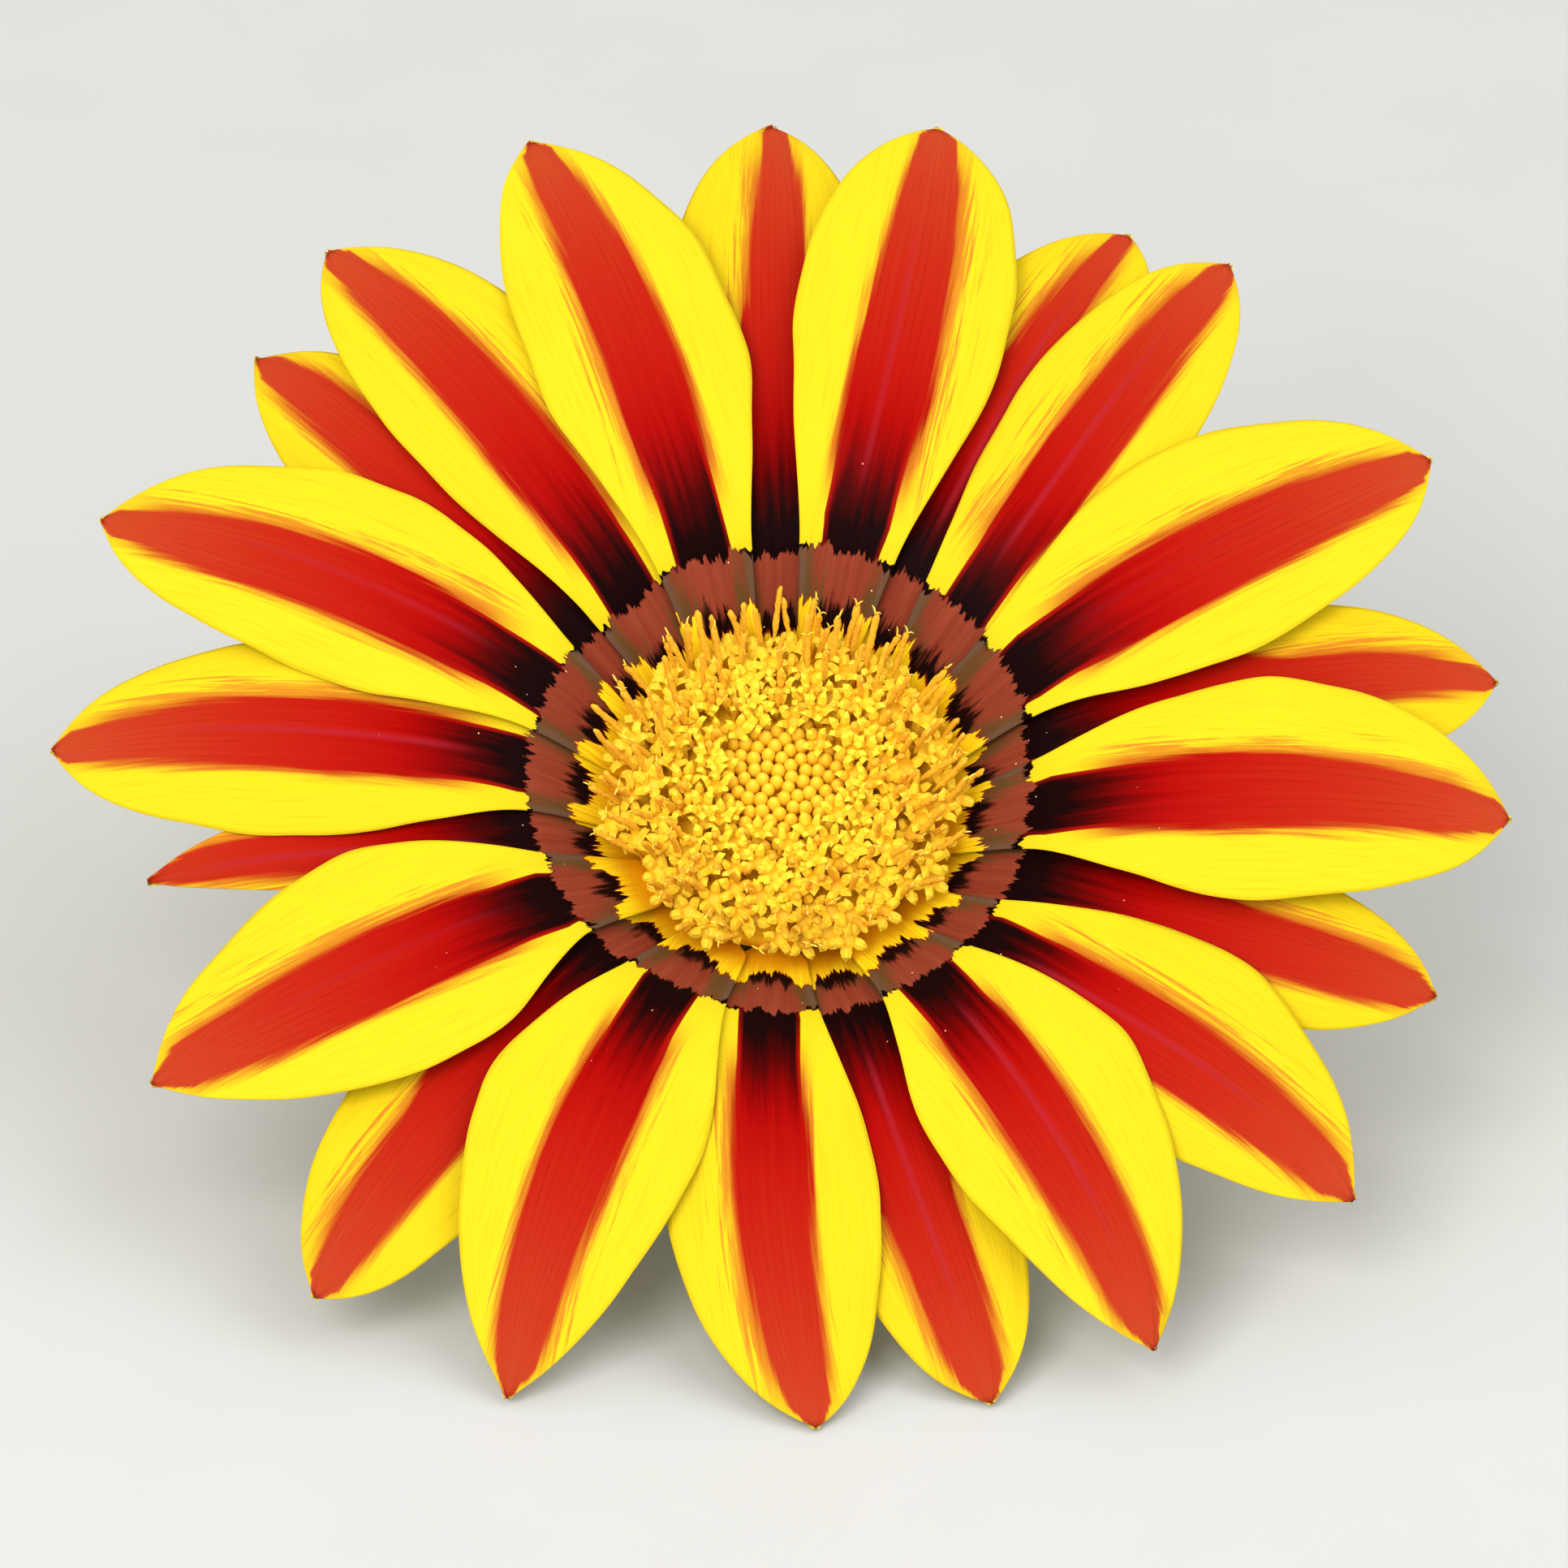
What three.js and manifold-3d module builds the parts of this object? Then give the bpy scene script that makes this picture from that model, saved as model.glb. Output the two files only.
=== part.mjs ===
// A single gazania bloom, picked and laid down: a leafless scape that ends in a green involucre cup,
// twenty-one ray florets in three overlapping layers, and a disc of buds, open florets and anthers.
// Millimetres, +Z up. The bloom rests on its lowest ray tips and on the scape, with the face tipped
// towards -Y, and the origin lies on the surface under the middle of the whole flower.

import * as THREE from 'three';
import { mergeVertices } from 'three/addons/utils/BufferGeometryUtils.js';
import Module from 'manifold-3d';

const wasm = await Module();
wasm.setup();

// ---- Driving dimensions -------------------------------------------------------------------------

// The head's own frame has its origin at the middle of the ring where the ray blades leave the
// funnel, x to the right, y up the face and z out of the face along the flower's axis.
const FACE_TILT = 35;          // degrees that the flower's axis leans from +Z towards -Y
const HEAD_PLACE = new THREE.Vector3(0.16, -27.2, 22.05); // centres the whole flower, tips on z = 0

const RING_RADIUS = 14.5;      // edge of the funnel, where the blades spread out
const FUNNEL_SLOPE = 0.885;    // rise per millimetre of radius inside the ring
const BLADE_MID_RADIUS = 28;   // second radius at which a ray's direction is given
const ARCH_HEIGHT = 2.6;       // how far a blade rises above the ring before it droops
const ARCH_REACH = 4.0;        // radial distance in which it rises

const RAY_THICKNESS = 0.38;
const RAY_FOOT_WIDTH = 1.9;
const RAY_RING_WIDTH = 5.7;    // where it leaves the funnel
const RAY_TIP_WIDTH = 0.6;
const RAY_CROSS_DROOP = 0.30;  // how far the margins hang below the midrib
const LAYER_STEP_FOOT = 0.9;   // distance between ray layers on the funnel
const LAYER_STEP_BLADE = 1.1;  // and further out
const RAY_COLUMNS = 5;
const RAY_ROWS = 14;

const SEAT_GAP = 0.3;          // clearance between separate pieces
const CUP_BOTTOM = -15.6;      // where the involucre meets the scape, in the head frame
const RECEPTACLE_TOP = -7.1;   // floor that the florets stand on
const DISC_FLOOR = RECEPTACLE_TOP + SEAT_GAP;

const SCAPE_NECK_RADIUS = 1.5;
const SCAPE_BASE_RADIUS = 1.75;
const SCAPE_REACH = 88.5;      // from the head's origin back to the cut end
const SCAPE_LIE_HEIGHT = 1.8;  // centre line of the stretch that lies down
const SCAPE_SWING = 2.6;       // how far that stretch wanders sideways

// Cross-sections as [radius, height] around the flower's axis, in the head frame. Everything inside
// the funnel fans outwards with it.
const BUD_DOME = [[0, DISC_FLOOR], [2.5, DISC_FLOOR], [3.9, -2.2], [2.6, -1.85], [0, -1.65]];
const FLORET_RING = [
  [2.9, DISC_FLOOR], [4.1, DISC_FLOOR], [7.3, -2.6], [4.45, -2.4], [2.9, DISC_FLOOR],
];
const ANTHER_RING = [
  [4.5, DISC_FLOOR], [5.0, DISC_FLOOR], [9.0, -2.8], [7.7, -2.5], [4.5, DISC_FLOOR],
];
const CUP = [
  [0, CUP_BOTTOM], [2.3, CUP_BOTTOM], [4.0, -14.9], [5.9, -13.0], [7.4, -10.2], [9.6, -7.0],
  [9.35, -6.75], [9.05, RECEPTACLE_TOP], [0, RECEPTACLE_TOP],
];

// Buds and florets sit in a sunflower spiral: radius is the spread times the square root of the number.
const GOLDEN_ANGLE = Math.PI * (3 - Math.sqrt(5));
const BUDS = { count: 55, spread: 0.52, radius: 0.45, middleHeight: -1.7, edgeHeight: -2.2 };
const FLORETS = {
  spread: 0.72, innerRadius: 4.95, outerRadius: 6.9, footHeight: -2.9, height: 1.5, unevenness: 0.3,
  footRadius: 0.3, mouthRadius: 0.5,
};

// Anther columns stand in two rows, each from a foot to a head given as [radius, height].
const ANTHERS_PER_ROW = 22;
const ANTHER_ROWS = [
  { foot: [8.0, -3.1], head: [9.2, 0.2] },
  { foot: [8.6, -3.1], head: [10.8, -0.3] },
];
const ANTHER_RADIUS = 0.36;
const ANTHER_UNEVENNESS = 0.4;

// Rows of phyllary teeth on the cup, from root to tip as [radius, height].
const TEETH_ROWS = [
  { count: 18, root: [9.0, -7.4], tip: [12.2, -4.5], width: 2.4, thickness: 0.45, turn: 0 },
  { count: 12, root: [6.9, -11.0], tip: [9.5, -8.2], width: 1.7, thickness: 0.5, turn: 0.4 },
];
const TEETH_UNEVENNESS = 0.25;

// Layers of rays, seen from the front.
const BACK = -1;
const MIDDLE = 0;
const FRONT = 1;
const FOOT_RADIUS = { [BACK]: 7.75, [MIDDLE]: 7.1, [FRONT]: 6.7 };

// Shape of a blade's outer end: exponents of the curve that closes its outline.
const BLADE_END = { acute: [1.8, 0.75], oval: [2.0, 0.6], blunt: [2.4, 0.55] };

// One row per ray, anticlockwise from the top: direction in degrees at the ring, at the middle radius
// and at the tip; radius and height of the tip; half width towards smaller and towards larger angles;
// where between ring and tip the blade is widest; shape of its end; layer.
const RAYS = [
  [91.0, 91.8, 90.8, 41.8, 1.5, 5.7, 5.7, 0.55, 'blunt', BACK],
  [75.2, 76.2, 77.3, 41.7, 1.5, 6.4, 6.2, 0.55, 'blunt', FRONT],
  [59.3, 60.8, 59.6, 40.2, 1.5, 5.2, 5.2, 0.55, 'blunt', BACK],
  [45.0, 49.7, 50.8, 41.6, 1.5, 5.5, 5.2, 0.50, 'oval', MIDDLE],
  [26.2, 28.0, 27.0, 42.3, 1.5, 6.6, 6.9, 0.48, 'oval', FRONT],
  [5.8, 9.6, 8.2, 41.8, 1.5, 5.6, 5.6, 0.52, 'oval', BACK],
  [353.0, 356.7, 355.2, 41.9, 1.5, 7.0, 6.8, 0.48, 'oval', FRONT],
  [334.6, 338.4, 339.8, 39.8, 1.5, 5.1, 5.3, 0.46, 'oval', BACK],
  [317.8, 321.6, 320.6, 41.9, 1.5, 6.0, 6.8, 0.46, 'acute', MIDDLE],
  [303.6, 303.5, 300.2, 41.6, 1.5, 6.2, 6.8, 0.40, 'acute', FRONT],
  [284.8, 286.3, 287.0, 40.2, 1.6, 5.4, 5.4, 0.46, 'oval', BACK],
  [267.2, 269.4, 272.6, 40.4, 1.9, 6.4, 5.9, 0.44, 'oval', MIDDLE],
  [243.4, 244.8, 247.8, 41.2, -0.6, 6.8, 6.4, 0.40, 'acute', FRONT],
  [228.0, 228.5, 230.4, 41.6, 1.5, 5.7, 5.4, 0.52, 'oval', BACK],
  [210.2, 208.7, 209.0, 41.1, 1.5, 7.1, 7.1, 0.40, 'acute', FRONT],
  [195.0, 191.0, 190.3, 37.2, 1.5, 3.6, 2.6, 0.31, 'acute', BACK],
  [176.9, 175.8, 178.4, 42.2, 1.5, 6.0, 6.3, 0.48, 'oval', MIDDLE],
  [157.2, 155.8, 158.8, 42.5, 1.5, 6.5, 6.2, 0.46, 'oval', FRONT],
  [143.2, 140.0, 139.2, 40.8, 1.5, 5.2, 5.2, 0.50, 'oval', BACK],
  [127.3, 126.8, 129.0, 42.6, 1.5, 6.0, 5.5, 0.52, 'oval', MIDDLE],
  [108.2, 108.2, 110.5, 42.5, 1.5, 6.3, 6.2, 0.50, 'oval', FRONT],
].map(([atRing, atMiddle, atTip, tipRadius, tipHeight, widthBefore, widthAfter, widest, end, layer]) => ({
  atRing, atMiddle, atTip, tipRadius, tipHeight, widthBefore, widthAfter, widest, end, layer,
}));

// ---- Materials ----------------------------------------------------------------------------------

const finish = (color, roughness) => new THREE.MeshStandardMaterial({ color, roughness, metalness: 0 });
const rayMaterial = () => finish(0xf7cf1d, 0.55);
const budMaterial = finish(0xe8a81c, 0.6);
const floretMaterial = finish(0xf2bf1e, 0.6);
const antherMaterial = finish(0xe39a1a, 0.8);
const involucreMaterial = finish(0x5f8a3a, 0.6);
const scapeMaterial = finish(0x6f9845, 0.55);

// ---- Helpers ------------------------------------------------------------------------------------

const { clamp, degToRad, lerp, smoothstep } = THREE.MathUtils;

/** Point at a radius, an angle in radians and a height, in the head frame. */
function polar(radius, angle, height) {
  return new THREE.Vector3(radius * Math.cos(angle), radius * Math.sin(angle), height);
}

/** Moves every vertex of a closed geometry to where place() puts it. */
function warp(geometry, place) {
  const position = geometry.attributes.position;
  const vertex = new THREE.Vector3();
  for (let i = 0; i < position.count; i += 1) {
    vertex.fromBufferAttribute(position, i);
    const placed = place(vertex.x, vertex.y, vertex.z);
    position.setXYZ(i, placed.x, placed.y, placed.z);
  }
  geometry.computeVertexNormals();
  return geometry;
}

/** Turns a closed geometry into a solid that can be joined to others. */
function toSolid(geometry) {
  const bare = geometry.clone();
  bare.deleteAttribute('normal');
  bare.deleteAttribute('uv');
  const merged = mergeVertices(bare, 1e-4);
  const mesh = new wasm.Mesh({
    numProp: 3,
    vertProperties: new Float32Array(merged.attributes.position.array),
    triVerts: new Uint32Array(merged.index.array),
  });
  return new wasm.Manifold(mesh);
}

/** Joins closed geometries that grew together into one body. */
function grownTogether(geometries) {
  const joined = wasm.Manifold.union(geometries.map(toSolid)).getMesh();
  const geometry = new THREE.BufferGeometry();
  geometry.setAttribute('position', new THREE.BufferAttribute(joined.vertProperties, 3));
  geometry.setIndex(new THREE.BufferAttribute(joined.triVerts, 1));
  geometry.computeVertexNormals();
  return geometry;
}

/** Solid of revolution about the flower's axis, from [radius, height] pairs listed from the bottom. */
function turned(profile, sides) {
  const points = profile.map(([radius, height]) => new THREE.Vector2(radius, height));
  const geometry = new THREE.LatheGeometry(points, sides);
  geometry.rotateX(Math.PI / 2);
  return geometry;
}

/** Round stalk from foot to head that changes from one radius to another. */
function stalk(foot, head, footRadius, headRadius, sides) {
  const axis = head.clone().sub(foot);
  const geometry = new THREE.CylinderGeometry(headRadius, footRadius, axis.length(), sides);
  const turn = new THREE.Quaternion().setFromUnitVectors(new THREE.Vector3(0, 1, 0), axis.normalize());
  geometry.applyQuaternion(turn);
  const middle = foot.clone().add(head).multiplyScalar(0.5);
  geometry.translate(middle.x, middle.y, middle.z);
  return geometry;
}

function namedMesh(name, geometry, material) {
  const mesh = new THREE.Mesh(geometry, material);
  mesh.name = name;
  return mesh;
}

// ---- Ray florets --------------------------------------------------------------------------------

/** Direction of a ray's midrib at a radius: a parabola through its three given directions. */
function midribAngle(ray, radius) {
  const r = Math.max(radius, RING_RADIUS);
  const ringToMiddle = RING_RADIUS - BLADE_MID_RADIUS;
  const ringToTip = RING_RADIUS - ray.tipRadius;
  const middleToTip = BLADE_MID_RADIUS - ray.tipRadius;
  const ringShare = (r - BLADE_MID_RADIUS) * (r - ray.tipRadius) / (ringToMiddle * ringToTip);
  const middleShare = (r - RING_RADIUS) * (r - ray.tipRadius) / (-ringToMiddle * middleToTip);
  const tipShare = (r - RING_RADIUS) * (r - BLADE_MID_RADIUS) / (ringToTip * middleToTip);
  return degToRad(ray.atRing * ringShare + ray.atMiddle * middleShare + ray.atTip * tipShare);
}

/** Height of the ray surface at a radius: a straight funnel, then an arch that droops to the tip. */
function midribHeight(ray, radius) {
  if (radius < RING_RADIUS) {
    return (radius - RING_RADIUS) * FUNNEL_SLOPE;
  }
  const arch = ARCH_HEIGHT * (1 - Math.exp(-(radius - RING_RADIUS) / ARCH_REACH));
  const outwards = clamp((radius - BLADE_MID_RADIUS) / (ray.tipRadius - BLADE_MID_RADIUS), 0, 1);
  return arch - (ARCH_HEIGHT - ray.tipHeight) * outwards ** 2;
}

function midrib(ray, along) {
  const radius = lerp(FOOT_RADIUS[ray.layer], ray.tipRadius, along);
  return polar(radius, midribAngle(ray, radius), midribHeight(ray, radius));
}

/** Half width of a ray: narrow at the foot, widest part way out the blade, closing to the tip. */
function halfWidth(ray, radius, widestHalf) {
  const ringHalf = Math.min(RAY_RING_WIDTH / 2, 0.8 * widestHalf);
  const outwards = (radius - RING_RADIUS) / (ray.tipRadius - RING_RADIUS);
  if (outwards < 0) {
    const foot = FOOT_RADIUS[ray.layer];
    return lerp(RAY_FOOT_WIDTH / 2, ringHalf, (radius - foot) / (RING_RADIUS - foot));
  }
  if (outwards < ray.widest) {
    return lerp(ringHalf, widestHalf, Math.sin(Math.PI / 2 * (outwards / ray.widest) ** 1.15));
  }
  const [inner, outer] = BLADE_END[ray.end];
  const closing = (1 - ((outwards - ray.widest) / (1 - ray.widest)) ** inner) ** outer;
  return Math.max(widestHalf * closing, RAY_TIP_WIDTH / 2);
}

/** A thin arched blade: a flat box whose columns, rows and two faces follow the ray's surface. */
function rayGeometry(ray) {
  const box = new THREE.BoxGeometry(2, 1, 1, RAY_COLUMNS, RAY_ROWS, 1);
  const step = 1e-3;
  return warp(box, (side, row, face) => {
    const along = 1 - (0.5 - row) ** 1.25;
    const centre = midrib(ray, along);
    const outwards = midrib(ray, along + step).sub(midrib(ray, along - step)).normalize();
    const across = new THREE.Vector3(outwards.y, -outwards.x, 0).normalize();
    const normal = across.clone().cross(outwards);
    const radius = Math.min(Math.hypot(centre.x, centre.y), ray.tipRadius);
    const width = halfWidth(ray, radius, side > 0 ? ray.widthBefore : ray.widthAfter);
    const layerStep = lerp(LAYER_STEP_FOOT, LAYER_STEP_BLADE, smoothstep(along, 0.1, 0.4));
    const droop = RAY_CROSS_DROOP * side ** 2 * smoothstep(along, 0.05, 0.4);
    const lift = ray.layer * layerStep + face * RAY_THICKNESS - droop;
    return centre.addScaledVector(across, side * width).addScaledVector(normal, lift);
  });
}

// ---- Disc ---------------------------------------------------------------------------------------

/** Closed buds: a low dome of round caps. */
function budGeometry() {
  const caps = [];
  for (let i = 0; i < BUDS.count; i += 1) {
    const share = (i + 0.5) / BUDS.count;
    const radius = BUDS.spread * Math.sqrt(i + 0.5);
    const place = polar(radius, i * GOLDEN_ANGLE, lerp(BUDS.middleHeight, BUDS.edgeHeight, share));
    const cap = new THREE.SphereGeometry(BUDS.radius, 6, 3);
    cap.rotateX(Math.PI / 2);
    cap.translate(place.x, place.y, place.z);
    caps.push(cap);
  }
  return grownTogether([turned(BUD_DOME, 24), ...caps]);
}

/** Open florets: a crowded ring of tubes that flare into five-sided mouths. */
function floretGeometry() {
  const first = Math.ceil((FLORETS.innerRadius / FLORETS.spread) ** 2);
  const last = (FLORETS.outerRadius / FLORETS.spread) ** 2;
  const florets = [];
  for (let i = first; i < last; i += 1) {
    const radius = FLORETS.spread * Math.sqrt(i);
    const angle = i * GOLDEN_ANGLE;
    const mouthHeight = FLORETS.footHeight + FLORETS.height + FLORETS.unevenness * Math.sin(i * 2.4);
    const foot = polar(radius, angle, FLORETS.footHeight);
    const mouth = polar(radius * 1.04, angle, mouthHeight);
    florets.push(stalk(foot, mouth, FLORETS.footRadius, FLORETS.mouthRadius, 5));
  }
  return grownTogether([turned(FLORET_RING, 30), ...florets]);
}

/** Anther columns: outer rows of slender tubes that lean outwards over the funnel. */
function antherGeometry() {
  const columns = [];
  ANTHER_ROWS.forEach(({ foot, head }, row) => {
    for (let i = 0; i < ANTHERS_PER_ROW; i += 1) {
      const turn = (i + row / 2 + 0.15 * Math.sin(i * 3.4 + row)) / ANTHERS_PER_ROW;
      const angle = turn * Math.PI * 2;
      const headHeight = head[1] + ANTHER_UNEVENNESS * Math.sin(i * 2.9 + row);
      const from = polar(foot[0], angle, foot[1]);
      const to = polar(head[0], angle, headHeight);
      columns.push(stalk(from, to, ANTHER_RADIUS, ANTHER_RADIUS * 0.85, 5));
    }
  });
  return grownTogether([turned(ANTHER_RING, 32), ...columns]);
}

// ---- Involucre ----------------------------------------------------------------------------------

/** A pointed, slightly keeled phyllary tooth of a row, standing at an angle around the axis. */
function toothGeometry({ root, tip, width, thickness }, angle, extraReach) {
  const box = new THREE.BoxGeometry(1, 1, 1, 2, 3, 1);
  const from = polar(root[0], angle, root[1]);
  const to = polar(tip[0] + extraReach, angle, tip[1]);
  const outwards = to.clone().sub(from).normalize();
  const across = polar(1, angle - Math.PI / 2, 0);
  const normal = across.clone().cross(outwards);
  return warp(box, (side, row, face) => {
    const along = row + 0.5;
    const taperedWidth = width * (1 - 0.88 * along ** 1.4);
    const keel = 0.12 * width * (1 - (2 * side) ** 2) * (1 - along);
    return from.clone().lerp(to, along)
      .addScaledVector(across, side * taperedWidth)
      .addScaledVector(normal, face * thickness - keel);
  });
}

/** Cup of fused phyllaries with its receptacle floor and rows of teeth, all one growth. */
function involucreGeometry() {
  const teeth = TEETH_ROWS.flatMap((row) => Array.from({ length: row.count }, (_, i) => {
    const angle = (i + row.turn) / row.count * Math.PI * 2;
    return toothGeometry(row, angle, TEETH_UNEVENNESS * Math.sin(i * 2.1));
  }));
  return grownTogether([turned(CUP, 30), ...teeth]);
}

// ---- Scape --------------------------------------------------------------------------------------

/** Centre line of the scape: out of the neck along the flower's axis, round a bend, then lying. */
function scapeLine(neck) {
  const neckSlope = degToRad(90 - FACE_TILT);
  const bendRadius = (neck.z - SCAPE_LIE_HEIGHT) / (1 - Math.cos(neckSlope));
  const bendSteps = 5;
  const points = [];
  for (let i = 0; i <= bendSteps; i += 1) {
    const slope = neckSlope * (1 - i / bendSteps);
    const run = bendRadius * (Math.sin(neckSlope) - Math.sin(slope));
    const rise = bendRadius * (1 - Math.cos(slope));
    points.push(new THREE.Vector3(neck.x, neck.y + run, SCAPE_LIE_HEIGHT + rise));
  }
  const lieStart = points[bendSteps].y;
  const lieEnd = HEAD_PLACE.y + SCAPE_REACH;
  const lieSteps = 5;
  for (let i = 1; i <= lieSteps; i += 1) {
    const share = i / lieSteps;
    const sideways = SCAPE_SWING * Math.sin(share * Math.PI * 1.35) * share ** 0.5;
    points.push(new THREE.Vector3(neck.x + sideways, lerp(lieStart, lieEnd, share), SCAPE_LIE_HEIGHT));
  }
  return new THREE.CatmullRomCurve3(points);
}

/** Solid stalk along the centre line, a little stouter towards the cut end. */
function scapeGeometry(neck) {
  const steps = 34;
  const sides = 12;
  const line = scapeLine(neck);
  const frames = line.computeFrenetFrames(steps);
  const cylinder = new THREE.CylinderGeometry(1, 1, 1, sides, steps);
  return warp(cylinder, (x, y, z) => {
    const along = 0.5 - y;
    const index = Math.round(along * steps);
    const radius = lerp(SCAPE_NECK_RADIUS, SCAPE_BASE_RADIUS, along);
    return line.getPointAt(along)
      .addScaledVector(frames.normals[index], x * radius)
      .addScaledVector(frames.binormals[index], z * radius);
  });
}

// ---- The flower ---------------------------------------------------------------------------------

const head = new THREE.Group();
head.position.copy(HEAD_PLACE);
head.rotation.x = degToRad(FACE_TILT);
RAYS.forEach((ray, i) => {
  const name = `ray_${String(i + 1).padStart(2, '0')}`;
  head.add(namedMesh(name, rayGeometry(ray), rayMaterial()));
});
head.add(namedMesh('disc_buds', budGeometry(), budMaterial));
head.add(namedMesh('disc_florets', floretGeometry(), floretMaterial));
head.add(namedMesh('disc_anthers', antherGeometry(), antherMaterial));
head.add(namedMesh('involucre', involucreGeometry(), involucreMaterial));
head.updateMatrixWorld(true);

const gazania = new THREE.Group();
gazania.name = 'gazania';
gazania.add(head);
const neck = head.localToWorld(new THREE.Vector3(0, 0, CUP_BOTTOM - SEAT_GAP));
gazania.add(namedMesh('scape', scapeGeometry(neck), scapeMaterial));

export default gazania;
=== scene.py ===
# %% [markdown]
# # A picked gazania, lying on a table
# A gazania is a daisy: what looks like one flower is a head of several hundred small flowers. Twenty-one
# big flat ones, the rays, stand around a disc of tiny tubular ones, and all of them grow on a fleshy floor
# inside a green toothed cup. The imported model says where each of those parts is, so the first step is to
# load it.

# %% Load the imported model
import math
import random

import bmesh
import bpy
from mathutils import Matrix, Vector, noise


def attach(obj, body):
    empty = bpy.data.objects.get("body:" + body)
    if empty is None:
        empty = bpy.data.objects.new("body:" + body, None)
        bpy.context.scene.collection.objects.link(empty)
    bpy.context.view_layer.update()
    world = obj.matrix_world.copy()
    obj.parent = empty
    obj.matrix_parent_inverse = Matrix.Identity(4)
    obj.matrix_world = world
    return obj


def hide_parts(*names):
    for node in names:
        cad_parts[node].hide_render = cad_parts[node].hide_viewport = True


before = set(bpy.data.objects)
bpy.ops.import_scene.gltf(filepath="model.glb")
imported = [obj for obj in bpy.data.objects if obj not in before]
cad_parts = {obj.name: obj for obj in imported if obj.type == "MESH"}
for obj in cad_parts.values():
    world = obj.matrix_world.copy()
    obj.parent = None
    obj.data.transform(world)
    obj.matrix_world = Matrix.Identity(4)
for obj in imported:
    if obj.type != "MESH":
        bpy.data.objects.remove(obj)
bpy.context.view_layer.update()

print("nodes in the model:", len(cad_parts))

# %% [markdown]
# ## One place for the flower head
# A flower is easiest to describe from its own middle, with Z along its axis and the rays spreading in X
# and Y, in millimetres. One matrix then takes every point of it to its place on the table, in metres. The
# face leans 35 degrees towards the front, because the flower lies on its three lowest rays and on its
# stalk.

# %% The flower head's own frame
MM = 0.001
FACE_TILT = math.radians(35)
HEAD_Y = -27.2
HEAD_PLACE = Vector((0.16, HEAD_Y, 22.05)) * MM
HEAD = Matrix.Translation(HEAD_PLACE) @ Matrix.Rotation(FACE_TILT, 4, "X") @ Matrix.Scale(MM, 4)


def blend_smooth(value, low, high):
    """0 below low, 1 above high, and a soft S between them."""
    share = min(max((value - low) / (high - low), 0), 1)
    return share * share * (3 - 2 * share)


def between(low, high, share):
    """The number that lies share of the way from low to high."""
    return low + (high - low) * share


print("middle of the face in mm:", [round(1000 * value, 2) for value in HEAD @ Vector((0, 0, 0))])

# %% [markdown]
# ## Piece helpers
# Every piece ends the same way: its bmesh becomes a mesh, it gets its materials, it moves with the flower,
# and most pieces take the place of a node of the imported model. A flower has no joints, so there is one
# body, named root.

# %% Finish a piece
ALL_PIECES = []


def finish_piece(name, bm, materials, nodes=(), smooth=True):
    """Turns a bmesh, already in place in metres, into a piece of the flower."""
    mesh = bpy.data.meshes.new(name)
    bm.to_mesh(mesh)
    bm.free()
    for material in materials:
        mesh.materials.append(material)
    if smooth:
        mesh.shade_smooth()
    piece = bpy.data.objects.new(name, mesh)
    bpy.context.scene.collection.objects.link(piece)
    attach(piece, "root")
    if nodes:
        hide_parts(*nodes)
    ALL_PIECES.append(piece)
    return piece


def keep_number(bm, name):
    """A number on each vertex, which a material can read by its name."""
    return bm.verts.layers.float.get(name) or bm.verts.layers.float.new(name)


# %% [markdown]
# ## Writing materials as sums
# A material is a tree of nodes. Long formulas are hard to read as nodes, so a Wire wraps an output socket,
# and adding or multiplying Wires adds the Math nodes. The trees that come out are plain Blender nodes.

# %% Wires and nodes
def linear(red, green, blue):
    """A colour from 0 to 255 as a screen shows it, turned into the linear numbers that shaders use."""
    parts = [value / 255 for value in (red, green, blue)]
    return tuple(p / 12.92 if p <= 0.04045 else ((p + 0.055) / 1.055) ** 2.4 for p in parts) + (1.0,)


class Wire:
    """An output socket that can be used in sums."""

    def __init__(self, tree, socket):
        self.tree = tree
        self.socket = socket

    def _sum(self, operation, *values):
        """A Math node that is fed with the values, as a new Wire."""
        node = self.tree.nodes.new("ShaderNodeMath")
        node.operation = operation
        for socket, value in zip(node.inputs, values):
            feed(self.tree, socket, value)
        return Wire(self.tree, node.outputs[0])

    def __add__(self, other):
        return self._sum("ADD", self, other)

    def __radd__(self, other):
        return self._sum("ADD", other, self)

    def __sub__(self, other):
        return self._sum("SUBTRACT", self, other)

    def __rsub__(self, other):
        return self._sum("SUBTRACT", other, self)

    def __mul__(self, other):
        return self._sum("MULTIPLY", self, other)

    def __truediv__(self, other):
        return self._sum("DIVIDE", self, other)

    def at_least(self, other):
        return self._sum("MAXIMUM", self, other)

    def at_most(self, other):
        return self._sum("MINIMUM", self, other)

    def size(self):
        return self._sum("ABSOLUTE", self)

    def root(self):
        return self._sum("SQRT", self)

    def zigzag(self, reach):
        """Goes from 0 up to reach and back again, over and over."""
        return self._sum("PINGPONG", self, reach)

    def step(self, low, high, start=0.0, end=1.0):
        """A soft step: start below low, end above high."""
        node = self.tree.nodes.new("ShaderNodeMapRange")
        node.interpolation_type = "SMOOTHSTEP"
        for socket, value in zip(node.inputs, (self, low, high, start, end)):
            feed(self.tree, socket, value)
        return Wire(self.tree, node.outputs[0])


def feed(tree, socket, value):
    """Joins a Wire to an input socket, or sets the socket to a plain value."""
    if isinstance(value, Wire):
        tree.links.new(value.socket, socket)
    else:
        socket.default_value = value


def number_on(tree, name):
    """The number that the piece keeps on its vertices under this name."""
    node = tree.nodes.new("ShaderNodeAttribute")
    node.attribute_name = name
    return Wire(tree, node.outputs["Fac"])


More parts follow.
